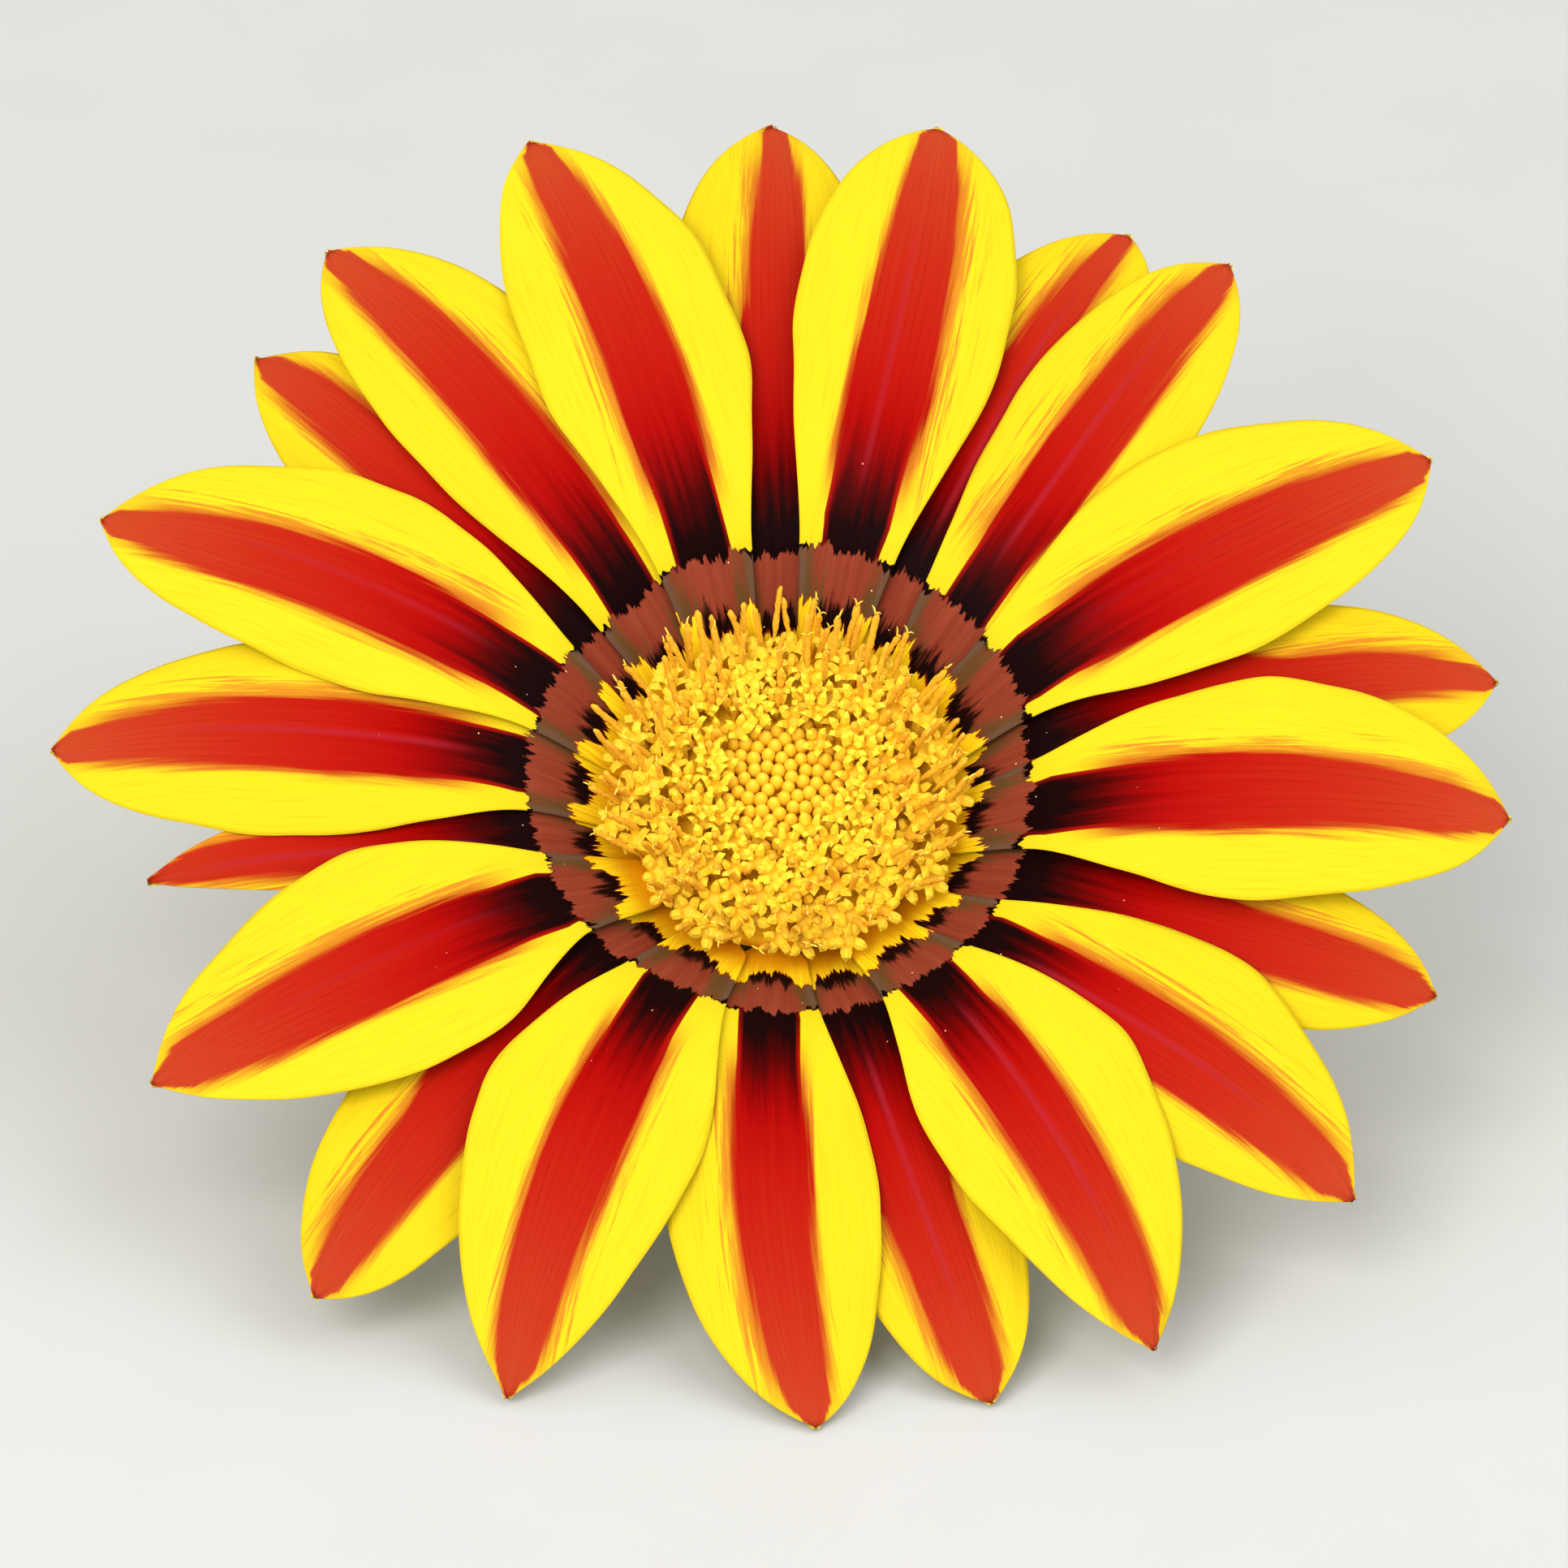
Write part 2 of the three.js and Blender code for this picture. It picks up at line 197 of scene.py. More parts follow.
def point(tree, x, y, z):
    """A place for a pattern, made of three numbers or Wires."""
    node = tree.nodes.new("ShaderNodeCombineXYZ")
    for socket, value in zip(node.inputs, (x, y, z)):
        feed(tree, socket, value)
    return Wire(tree, node.outputs[0])


def cloud(tree, vector, scale=1.0, detail=2.0, roughness=0.5):
    """Noise from 0 to 1, about 0.5 on average."""
    node = tree.nodes.new("ShaderNodeTexNoise")
    feed(tree, node.inputs["Vector"], vector)
    for name, value in (("Scale", scale), ("Detail", detail), ("Roughness", roughness)):
        feed(tree, node.inputs[name], value)
    return Wire(tree, node.outputs["Fac"])


def paint(tree, share, under, over):
    """One colour painted over another, as much as share says."""
    node = tree.nodes.new("ShaderNodeMix")
    node.data_type = "RGBA"
    feed(tree, node.inputs[0], share)
    feed(tree, node.inputs[6], under)
    feed(tree, node.inputs[7], over)
    return Wire(tree, node.outputs[2])


def ramp(tree, value, stops):
    """Colours, or plain numbers from 0 to 1, along a value from 0 to 1."""
    node = tree.nodes.new("ShaderNodeValToRGB")
    elements = node.color_ramp.elements
    while len(elements) < len(stops):
        elements.new(0.5)
    for element, (place, colour) in zip(elements, stops):
        element.position = place
        element.color = colour if isinstance(colour, tuple) else (colour, colour, colour, 1.0)
    feed(tree, node.inputs[0], value)
    return Wire(tree, node.outputs[0])


def object_place(tree):
    """Where a point of the piece is, in metres."""
    node = tree.nodes.new("ShaderNodeTexCoord")
    return Wire(tree, node.outputs["Object"])


def new_material(name, roughness, specular):
    """A material with one Principled BSDF. Plain numbers are set on the shader itself."""
    material = bpy.data.materials.new(name)
    material.use_nodes = True
    shader = material.node_tree.nodes["Principled BSDF"]
    shader.inputs["Roughness"].default_value = roughness
    shader.inputs["Specular IOR Level"].default_value = specular
    return material, material.node_tree, shader


def raise_surface(tree, shader, height, distance, strength=1.0):
    """Bumps the surface by a height from 0 to 1, which stands for a distance in metres."""
    bump = tree.nodes.new("ShaderNodeBump")
    bump.inputs["Strength"].default_value = strength
    bump.inputs["Distance"].default_value = distance
    feed(tree, bump.inputs["Height"], height)
    tree.links.new(bump.outputs["Normal"], shader.inputs["Normal"])


# %% [markdown]
# ## Effects that several materials share
# Plant tissue is made of long cells, so rays, cup and stalk all show fine fibres along their length, and
# specks of pollen fall on the rays near the disc. Each effect is a node group: it takes the place on the
# piece and a seed, and puts out masks from 0 to 1, and each material uses it with values of its own.

# %% Node groups: fibres and pollen dust
def start_group(name, inputs, outputs):
    """A shader node group with number sockets. Returns it with its inputs as Wires and its output node."""
    group = bpy.data.node_groups.new(name, "ShaderNodeTree")
    for label in inputs:
        group.interface.new_socket(name=label, in_out="INPUT", socket_type="NodeSocketFloat")
    for label in outputs:
        group.interface.new_socket(name=label, in_out="OUTPUT", socket_type="NodeSocketFloat")
    source = group.nodes.new("NodeGroupInput")
    wires = {label: Wire(group, source.outputs[label]) for label in inputs}
    return group, wires, group.nodes.new("NodeGroupOutput")


def use_group(tree, group, **values):
    """Places a group in a material. Socket names are given with an underscore for a blank."""
    node = tree.nodes.new("ShaderNodeGroup")
    node.node_tree = group
    for name, value in values.items():
        feed(tree, node.inputs[name.replace("_", " ")], value)
    return {output.name: Wire(tree, output) for output in node.outputs}


# Columns: name of the noise; how fine it is across and along the fibres; how far it lies from the others;
# its detail and its roughness. All are much finer across than along, which draws them out to fibres.
FIBRE_NOISES = [
    ("Broad", 1.0, 0.09, 0.0, 3.0, 0.5),
    ("Fine", 3.2, 0.2, 5.0, 2.0, 0.5),
    ("Ragged", 0.95, 0.4, 11.0, 5.0, 0.62),
]
SEED_SPREAD = 17.3
fibre_group, wires, end = start_group(
    "plant fibres", ["Across", "Along", "Seed", "Per Unit"], [row[0] for row in FIBRE_NOISES]
)
across_place = wires["Across"] * wires["Per Unit"]
seed_place = wires["Seed"] * SEED_SPREAD
for label, fine_across, fine_along, apart, detail, roughness in FIBRE_NOISES:
    place = point(fibre_group, across_place * fine_across, wires["Along"] * fine_along, seed_place + apart)
    feed(fibre_group, end.inputs[label], cloud(fibre_group, place, detail=detail, roughness=roughness))

# One speck may lie in each cell of a honeycomb, and a cell's own random colour decides whether it does.
dust_group, wires, end = start_group("pollen dust", ["Across", "Along", "Seed", "Grain", "Share"], ["Mask"])
cells = dust_group.nodes.new("ShaderNodeTexVoronoi")
place = point(dust_group, wires["Across"] + wires["Seed"] * 31.0, wires["Along"], wires["Seed"] * 7.0)
feed(dust_group, cells.inputs["Vector"], place)
cells.inputs["Scale"].default_value = 1.9
cell_luck = dust_group.nodes.new("ShaderNodeSeparateColor")
dust_group.links.new(cells.outputs["Color"], cell_luck.inputs[0])
speck = 1.0 - Wire(dust_group, cells.outputs["Distance"]).step(wires["Grain"] * 0.5, wires["Grain"])
chosen = Wire(dust_group, cell_luck.outputs[0]).step(1.0 - wires["Share"], 1.001 - wires["Share"])
feed(dust_group, end.inputs["Mask"], speck * chosen)
print("node groups:", [group.name for group in bpy.data.node_groups])

# %% [markdown]
# ## The upper side of a ray
# From the disc outwards a ray is golden yellow, then has a black blotch, a brick-brown band with olive
# sides, black again, and a stripe that turns from black through maroon to scarlet and runs to the tip
# between two lemon-yellow margins. Each change follows the long cells, so its edge is ragged like a torn
# brush stroke. Pictures could hold this pattern, but numbers kept on the vertices do it without any.
#
# RAY_MEASURES names them. In millimetres: across is the distance from the midrib, radius the one from the
# flower's axis, half the ray's half width, to_tip the way to its tip, off_stripe the distance from the
# middle of the stripe, and stripe the stripe's widest half. As plain numbers: share goes from -1 to 1
# across the ray, seed is the ray's own, depth is 0 for a front ray and 1 for a back one, and blush says how
# much orange runs out of the stripe, and to which side. From the seed comes the ray's lot, a number between
# -0.5 and 0.5 that shifts its rings and edges a little.

# %% Material: ray_face, what it reads
RAY_MEASURES = (
    "across", "radius", "share", "half", "to_tip", "seed", "depth", "off_stripe", "stripe", "blush"
)
SENT_BACK = 0.72


def petal(red, green, blue):
    """A ray's colour. Light also goes through its thin blade, so it sends back less than the disc does."""
    return tuple(SENT_BACK * part for part in linear(red, green, blue)[:3]) + (1.0,)


ray_face, tree, shader = new_material("ray_face", roughness=0.5, specular=0.025)
measures = [number_on(tree, name) for name in RAY_MEASURES]
across, radius, share, half, to_tip, seed, depth, off_stripe, stripe, blush = measures
side = off_stripe.size()
margin = share.size()
lot = (seed * 2.7).zigzag(1.0) - 0.5
fibres = use_group(tree, fibre_group, Across=across, Along=radius, Seed=seed, Per_Unit=2.3)
broad, fine, ragged = (fibres[label] - 0.5 for label in ("Broad", "Fine", "Ragged"))
print("measures that ray_face reads:", len(measures))

# %% [markdown]
# ### Where the yellow margins begin
# Yellow starts where a point is past the side of the stripe and also past the dark start of the blade. The
# two distances are joined with a rounded corner. A back ray stays dark at its sides for longer, because its
# neighbours cover it there. Feather is the width, in millimetres, over which the stripe fades into yellow.

# %% Material: ray_face, stripe and yellow share
STRIPE_START, STRIPE_LENGTH = 14.0, 28.0
STRIPE_OUTLINE = [(0.0, 0.86), (0.14, 0.88), (0.28, 0.96), (0.43, 1.0),
                  (0.57, 0.94), (0.71, 0.84), (0.86, 0.63), (1.0, 0.4)]
stripe_run = (radius - STRIPE_START) / STRIPE_LENGTH
stripe_width = stripe * ramp(tree, stripe_run, STRIPE_OUTLINE)
stripe_width = stripe_width.at_most(half * 0.56 + 0.06)
feather = ramp(tree, stripe_run, [(0.0, 0.06), (0.15, 0.1), (0.35, 0.45), (0.75, 0.42), (1.0, 0.2)])
past_stripe = side - stripe_width + broad * feather * 2.6 + fine * feather * 0.9
past_start = radius - 14.4 - lot * 0.6 + broad * 1.2 + ragged * 0.8
hidden_start = (radius - 16.5) * 0.3 - half + side + (1.0 - depth.step(0.6, 0.9)) * 9.0
past_start = past_start.at_most(hidden_start + broad)
corner = 0.34
corner_side = (corner - past_stripe).at_least(0.0)
corner_start = (corner - past_start).at_least(0.0)
into_yellow = corner - (corner_side * corner_side + corner_start * corner_start).root()
into_yellow = into_yellow + (past_stripe.at_most(past_start) - corner).at_least(0.0)
yellow_share = into_yellow.step(0.0, feather)
print("nodes so far:", len(tree.nodes))

# %% [markdown]
# ### Red stripe and yellow margins
# The red is a ramp of colours along the ray, with fine darker veins, and on some rays a pinkish painted
# highlight follows the midrib. The yellow is deeper on the back rays, as painted shade of the front rays
# over them. Orange strands run out of the stripe into the yellow, on most rays more to one side, and a thin
# red line edges the dark start of the stripe.

# %% Material: ray_face, red and yellow
RED_STOPS = [
    (0.0, petal(20, 3, 4)),
    (0.08, petal(28, 2, 2)),
    (0.15, petal(82, 0, 0)),
    (0.22, petal(142, 0, 0)),
    (0.3, petal(180, 6, 2)),
    (0.42, petal(193, 22, 10)),
    (0.64, petal(198, 40, 18)),
    (0.84, petal(202, 58, 28)),
    (1.0, petal(204, 74, 38)),
]
red_run = (radius + broad * 5.0 + fine * 1.6 - STRIPE_START) / STRIPE_LENGTH
red = ramp(tree, red_run, RED_STOPS)
vein_line = (share * 13.0 + broad * 0.7 + seed).zigzag(0.5) * 2.0
vein_fade = (fine + broad).step(-0.25, 0.2)
veins = vein_line.step(0.72, 1.0) * radius.step(20.0, 28.0)
red = paint(tree, veins * vein_fade * 0.32, red, petal(128, 4, 6))
# A pinkish painted highlight along the midrib, only on rays whose lot is high enough.
painted_sheen_line = (1.0 - across.size().step(0.0, 0.36)) * radius.step(17.0, 21.0)
painted_sheen_line = painted_sheen_line * (1.0 - radius.step(30.0, 37.0))
red = paint(tree, painted_sheen_line * lot.step(-0.1, 0.2) * 0.42, red, petal(186, 46, 62))

yellow = paint(tree, fine.step(0.0, 0.3) * 0.5, petal(255, 227, 34), petal(252, 206, 26))
# Painted shade: the yellow of the back rays is made deeper, as if the front rays shaded it.
yellow = paint(tree, depth * 0.3, yellow, petal(250, 206, 14))
yellow = paint(tree, veins * vein_fade * 0.2, yellow, petal(226, 170, 6))
blade_share = radius.step(17.0, 22.0) * (1.0 - radius.step(33.0, 40.0))
blush_side = (off_stripe * blush + broad * 0.8).step(-1.0, 1.0)
blush_near = (1.0 - past_stripe / (0.4 + blush_side * 1.9)).at_least(0.0)
far = cloud(tree, point(tree, across * 4.2, radius * 0.13, seed * 5.1 + 2.0), detail=4.0, roughness=0.7)
strands = (far - 0.5) * 3.0
blush_share = (blush_near + strands + broad * 1.1 - 0.34).step(0.0, 0.5) * blush_near.step(0.0, 0.2)
blush_share = blush_share.at_least(1.0 - (past_stripe + strands * 0.45).step(0.2, 0.95))
blush_share = blush_share * past_stripe.step(-0.2, 0.1) * radius.step(16.0, 20.0)
blush_share = blush_share * to_tip.step(0.4, 4.0, 0.2, 1.0)
blush_run = (past_stripe + strands * 0.3).step(0.0, 1.1)
blush_colour = paint(tree, blush_run, petal(202, 58, 24), petal(230, 132, 40))
yellow = paint(tree, blush_share * 0.84, yellow, blush_colour)
strand_zone = past_stripe.step(0.6, 1.2) * (1.0 - past_stripe.step(1.6, 3.2)) * blade_share * blush_side
yellow = paint(tree, far.step(0.54, 0.7) * strand_zone * 0.5, yellow, petal(226, 136, 38))
colour = paint(tree, yellow_share, red, yellow)
outline = past_stripe.step(-0.32, -0.06) * (1.0 - past_stripe.step(0.0, 0.1))
outline = outline * radius.step(14.6, 17.6, 0.35, 1.0) * (1.0 - radius.step(19.0, 25.0))
outline = outline * past_start.step(-0.3, 0.1)
colour = paint(tree, outline * 0.85, colour, petal(186, 16, 4))
colour = paint(tree, (1.0 - to_tip.step(0.05, 0.4)) * 0.5, colour, petal(160, 46, 26))
print("nodes so far:", len(tree.nodes))

# %% [markdown]
# ### The rings around the disc
# Brown band, black blotch and golden base are painted over the rest, one after the other, each up to its
# own radius. The fibres push that radius in and out, which tears the edges. Where two rays meet, the band
# is olive, the blotch ends sooner and the gold reaches further out.

# %% Material: ray_face, brown band, blotch and gold
brown = paint(tree, (fine * 0.5 + broad).step(-0.3, 0.3), petal(148, 60, 41), petal(166, 75, 51))
olive_streaks = margin + broad * 1.2 + fine * 0.5 + (1.0 - radius.step(11.8, 14.0)) * 0.25
brown = paint(tree, olive_streaks.step(0.48, 0.92) * 0.95, brown, petal(108, 78, 42))
brown = paint(tree, (margin + fine * 0.3).step(0.76, 0.96) * 0.6, brown, petal(122, 94, 78))
brown_edge = 14.55 + lot * 0.7 - margin.step(0.55, 0.95) * 0.45
brown_share = 1.0 - (radius + ragged * 2.6 + fine * 0.5 - brown_edge).step(-0.05, 0.05)
colour = paint(tree, brown_share, colour, brown)
blotch_edge = 12.25 + lot * 0.7 - margin.step(0.3, 0.75) * 1.3
blotch_share = 1.0 - (radius + ragged * 3.6 + fine * 1.2 - blotch_edge).step(-0.5, 0.3)
colour = paint(tree, blotch_share, colour, petal(30, 12, 10))
gold_edge = 10.9 + lot * 0.6 + (margin + broad * 0.3).step(0.42, 0.64) * 1.1
into_gold = gold_edge - radius - ragged * 2.3 - fine * 1.1
gold = paint(tree, (fine + broad * 0.6).step(-0.16, 0.2), linear(255, 222, 30), linear(240, 186, 18))
gold = paint(tree, 1.0 - radius.step(9.4, 11.2), gold, linear(240, 176, 16))
colour = paint(tree, into_gold.step(-0.2, -0.05) * 0.8, colour, linear(140, 34, 10))
colour = paint(tree, into_gold.step(-0.04, 0.06), colour, gold)

# %% [markdown]
# ### Pollen and surface
# Specks of pollen lie on the inner part of the ray. Its fine ribs, its fibres and the specks stand out as
# bumps that only the light sees, because as real shapes they would take far more faces.

# %% Material: ray_face, pollen and surface
dust = use_group(tree, dust_group, Across=across, Along=radius, Seed=seed, Grain=0.11, Share=0.08)["Mask"]
dust = dust * (1.0 - radius.step(17.0, 25.0))
colour = paint(tree, dust * 0.85, colour, linear(255, 236, 170))
feed(tree, shader.inputs["Base Color"], colour)

feed(tree, shader.inputs["Roughness"], 0.5 + fine * 0.22)
rib_height = cloud(tree, point(tree, share * 11.0 + seed * 5.0, radius * 0.03, seed), detail=2.5)
raise_surface(tree, shader, rib_height + fine * 0.3 + dust * 0.6, 0.00008, 0.6)
print("nodes in ray_face:", len(tree.nodes))

# %% [markdown]
# ## The under side of a ray
# Seen from behind, a ray is duller: greenish yellow, with raised veins and a stripe along the middle that
# turns from olive to purple-brown towards the tip. In the closed flower this side is the outside, so near
# the cup it is as good as green.

# %% Material: ray_back
ray_back, tree, shader = new_material("ray_back", roughness=0.55, specular=0.25)
across, radius, share, seed = (number_on(tree, name) for name in ("across", "radius", "share", "seed"))
margin = share.size()
fibres = use_group(tree, fibre_group, Across=across, Along=radius, Seed=seed + 3.0, Per_Unit=2.0)
broad, fine = fibres["Broad"] - 0.5, fibres["Fine"] - 0.5
colour = paint(tree, fine.step(-0.2, 0.3), linear(222, 204, 52), linear(196, 184, 62))
colour = paint(tree, (1.0 - radius.step(13.0, 24.0)) * 0.8, colour, linear(150, 158, 70))
band = 1.0 - (margin + broad * 0.5).step(0.26, 0.42)
BACK_STOPS = [
    (0.0, linear(112, 124, 58)),
    (0.4, linear(112, 100, 56)),
    (0.75, linear(118, 72, 54)),
    (1.0, linear(128, 58, 48)),
]
band_colour = ramp(tree, (radius - 12.0) / 30.0, BACK_STOPS)
colour = paint(tree, band * 0.85, colour, band_colour)
vein_place = point(tree, share * 10.0 + seed * 3.0, radius * 0.03, seed)
back_veins = cloud(tree, vein_place, detail=1.5).step(0.54, 0.62)
colour = paint(tree, back_veins * 0.3, colour, linear(96, 92, 44))
feed(tree, shader.inputs["Base Color"], colour)
feed(tree, shader.inputs["Roughness"], 0.55 + fine * 0.2)
raise_surface(tree, shader, back_veins + fine * 0.5, 0.0001, 0.8)
print("nodes in ray_back:", len(tree.nodes))

# %% [markdown]
# ## The rays
# A ray is one strap of tissue: it starts narrow on the floor of the cup, climbs the funnel around the disc,
# bends outward over a crest, widens to a blade, and ends in a small point. One grid is enough for it. Its
# columns run across the ray and its rows along it, and each vertex is moved to where the strap's own
# measures put it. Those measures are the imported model's. What is added here is what the eye looks for:
# margins that droop, shallow ribs, and edges that aren't quite even. Solidify then gives the strap its
# thin body.

# %% Measures of the rays
BACK, MIDDLE, FRONT = -1, 0, 1
ACUTE, OVAL, BLUNT = (1.8, 0.75), (2.0, 0.6), (2.4, 0.55)
FOOT_RADIUS = {BACK: 7.75, MIDDLE: 7.1, FRONT: 6.7}
CREST_RADIUS = 14.5
BLADE_MIDDLE_RADIUS = 28.0
FUNNEL_SLOPE = 0.885
ARCH_HEIGHT, ARCH_REACH = 2.6, 4.0
CREST_HALF_WIDTH = 2.85
FOOT_HALF_WIDTH = 0.95
CREST_OVERLAP, FUNNEL_OVERLAP = 0.5, 0.4

# Columns: direction in degrees at the crest, at mid-blade and at the tip; radius and height of the tip;
# half widths on the two sides; where the blade is widest, as a share of it; the shape of its end; its
# layer. Lengths are in mm.
RAYS = [
    (91.0, 91.8, 90.8, 41.8, 1.5, 5.7, 5.7, 0.55, BLUNT, BACK),
    (75.2, 76.2, 77.3, 41.7, 1.5, 6.4, 6.2, 0.55, BLUNT, FRONT),
    (59.3, 60.8, 59.6, 40.2, 1.5, 5.2, 5.2, 0.55, BLUNT, BACK),
    (45.0, 49.7, 50.8, 41.6, 1.5, 5.5, 5.2, 0.50, OVAL, MIDDLE),
    (26.2, 28.0, 27.0, 42.3, 1.5, 6.6, 6.9, 0.48, OVAL, FRONT),
    (5.8, 9.6, 8.2, 41.8, 1.5, 5.6, 5.6, 0.52, OVAL, BACK),
    (353.0, 356.7, 355.2, 41.9, 1.5, 7.0, 6.8, 0.48, OVAL, FRONT),
    (334.6, 338.4, 339.8, 39.8, 1.5, 5.1, 5.3, 0.46, OVAL, BACK),
    (317.8, 321.6, 320.6, 41.9, 1.5, 6.0, 6.8, 0.46, ACUTE, MIDDLE),
    (303.6, 303.5, 300.2, 41.6, 1.5, 6.2, 6.8, 0.40, ACUTE, FRONT),
    (284.8, 286.3, 287.0, 40.2, 1.6, 5.4, 5.4, 0.46, OVAL, BACK),
    (267.2, 269.4, 272.6, 40.4, 1.9, 6.4, 5.9, 0.44, OVAL, MIDDLE),
    (243.4, 244.8, 247.8, 41.2, -0.6, 6.8, 6.4, 0.40, ACUTE, FRONT),
    (228.0, 228.5, 230.4, 41.6, 1.5, 5.7, 5.4, 0.52, OVAL, BACK),
    (210.2, 208.7, 209.0, 41.1, 1.5, 7.1, 7.1, 0.40, ACUTE, FRONT),
    (195.0, 191.0, 190.3, 37.2, 1.5, 3.6, 2.6, 0.31, ACUTE, BACK),
    (176.9, 175.8, 178.4, 42.2, 1.5, 6.0, 6.3, 0.48, OVAL, MIDDLE),
    (157.2, 155.8, 158.8, 42.5, 1.5, 6.5, 6.2, 0.46, OVAL, FRONT),
    (143.2, 140.0, 139.2, 40.8, 1.5, 5.2, 5.2, 0.50, OVAL, BACK),
    (127.3, 126.8, 129.0, 42.6, 1.5, 6.0, 5.5, 0.52, OVAL, MIDDLE),
    (108.2, 108.2, 110.5, 42.5, 1.5, 6.3, 6.2, 0.50, OVAL, FRONT),
]
# Columns: how far the stripe's middle lies clockwise of the midrib, and its widest half, both in mm; how
# much orange runs out of it into the yellow, more than 0 on the clockwise side, less than 0 on the other.
STRIPES = [
    (0.6, 1.6, -0.6), (0.3, 2.2, 0.8), (-0.1, 1.2, -0.3), (0.2, 1.75, -0.7), (0.6, 2.25, -0.9),
    (-0.3, 1.6, -0.6), (0.5, 2.1, -0.9), (0.1, 1.8, -1.0), (0.1, 2.1, -0.6), (0.25, 2.0, 0.1),
    (0.15, 2.0, 0.1), (0.1, 2.0, 0.7), (-0.1, 1.95, -0.1), (0.2, 1.85, 0.5), (-0.45, 2.2, 0.4),
    (0.6, 1.2, 0.0), (-0.15, 2.05, 0.5), (-0.5, 2.0, 0.6), (0.15, 1.7, 0.0), (-0.1, 1.9, 0.1),
    (-0.1, 1.95, -0.1),
]
print("rays:", len(RAYS), "of them in front:", sum(row[9] == FRONT for row in RAYS))


# %% How a ray runs from the disc to its tip
def midrib_direction(row, radius):
    """The midrib's direction at a radius, in radians: a parabola through the three given directions."""
    crest, middle, tip, tip_radius = row[:4]
    at = max(radius, CREST_RADIUS)
    a, b, c = CREST_RADIUS, BLADE_MIDDLE_RADIUS, tip_radius
    degrees = (
        crest * (at - b) * (at - c) / ((a - b) * (a - c))
        + middle * (at - a) * (at - c) / ((b - a) * (b - c))
        + tip * (at - a) * (at - b) / ((c - a) * (c - b))
    )
    return math.radians(degrees)


def midrib_height(row, radius):
    """How far the midrib stands above the plane of the crest, in mm."""
    tip_radius, tip_height = row[3:5]
    if radius < CREST_RADIUS:
        return (radius - CREST_RADIUS) * FUNNEL_SLOPE
    arch = ARCH_HEIGHT * (1 - math.exp(-(radius - CREST_RADIUS) / ARCH_REACH))
    outer = min(max((radius - BLADE_MIDDLE_RADIUS) / (tip_radius - BLADE_MIDDLE_RADIUS), 0), 1)
    return arch - (ARCH_HEIGHT - tip_height) * outer ** 2


def half_width(row, radius, widest_half, half_gap):
    """Half the ray's width at a radius, in mm, on the side whose widest half is given.

    half_gap is half the angle to the next ray on that side. In the funnel the ray is made wide enough for
    it to overlap its neighbour.
    """
    tip_radius, widest, (bulge, point_power), layer = row[3], row[7], row[8], row[9]
    to_neighbour = CREST_RADIUS * math.tan(half_gap)
    crest_half = max(min(CREST_HALF_WIDTH, 0.8 * widest_half), to_neighbour + CREST_OVERLAP)
    foot = FOOT_RADIUS[layer]
    if radius < CREST_RADIUS:
        plain = between(FOOT_HALF_WIDTH, crest_half, (radius - foot) / (CREST_RADIUS - foot))
        overlapping = radius * math.tan(half_gap) + FUNNEL_OVERLAP
        return max(plain, overlapping * blend_smooth(radius, 7.5, 9.5))
    out = (radius - CREST_RADIUS) / (tip_radius - CREST_RADIUS)
    if out < widest:
        return between(crest_half, widest_half, math.sin(math.pi / 2 * (out / widest) ** 1.15))
    last = min((out - widest) / (1 - widest), 1)
    return widest_half * max(1 - last ** bulge, 0) ** point_power


# %% [markdown]
# ## From a flat grid to a living blade
# Each vertex first gets its place on the strap. Then come the small shapes: a droop towards the margins,
# two shallow folds beside the midrib, a slow wave along each margin, and the fine ribs. Each ray has its
# own seed, so that no two wave in step.

# %% Shape one ray
COLUMNS, ROWS = 36, 104
MARGIN_DROOP = 0.75
FOLD_DEPTH, WAVE_HEIGHT, RIB_HEIGHT = 0.08, 0.55, 0.02
CREST_STEP, BLADE_STEP = 0.38, 1.0
SEED_STEP = 1.37
# The share of its width that the very end of a ray loses: a blunt ray, and any other.
ROUND_END, SHARP_END = 0.2, 0.42


def surface_height(row, radius, across, share, half, seed):
    """How far a point of the ray stands above the plane of the crest, in mm."""
    on_blade = blend_smooth(radius, 15, 24)
    near_crest = 1 - blend_smooth(radius, 14, 20)
    height = midrib_height(row, radius)
    height += row[9] * between(CREST_STEP, BLADE_STEP, blend_smooth(radius, 14, 22))
    height += near_crest * FUNNEL_SLOPE * (math.hypot(radius, across) - radius)
    height -= MARGIN_DROOP * share ** 2 * on_blade * min(half / 6, 1)
    height -= FOLD_DEPTH * math.exp(-((abs(share) - 0.42) / 0.13) ** 2) * on_blade
    wave = noise.noise(Vector((radius * 0.16, seed * 5, 1 if share > 0 else 2)))
    height += WAVE_HEIGHT * wave * share ** 2 * on_blade
    return height + RIB_HEIGHT * math.sin(share * 26 + seed) * on_blade * min(half / 4, 1)


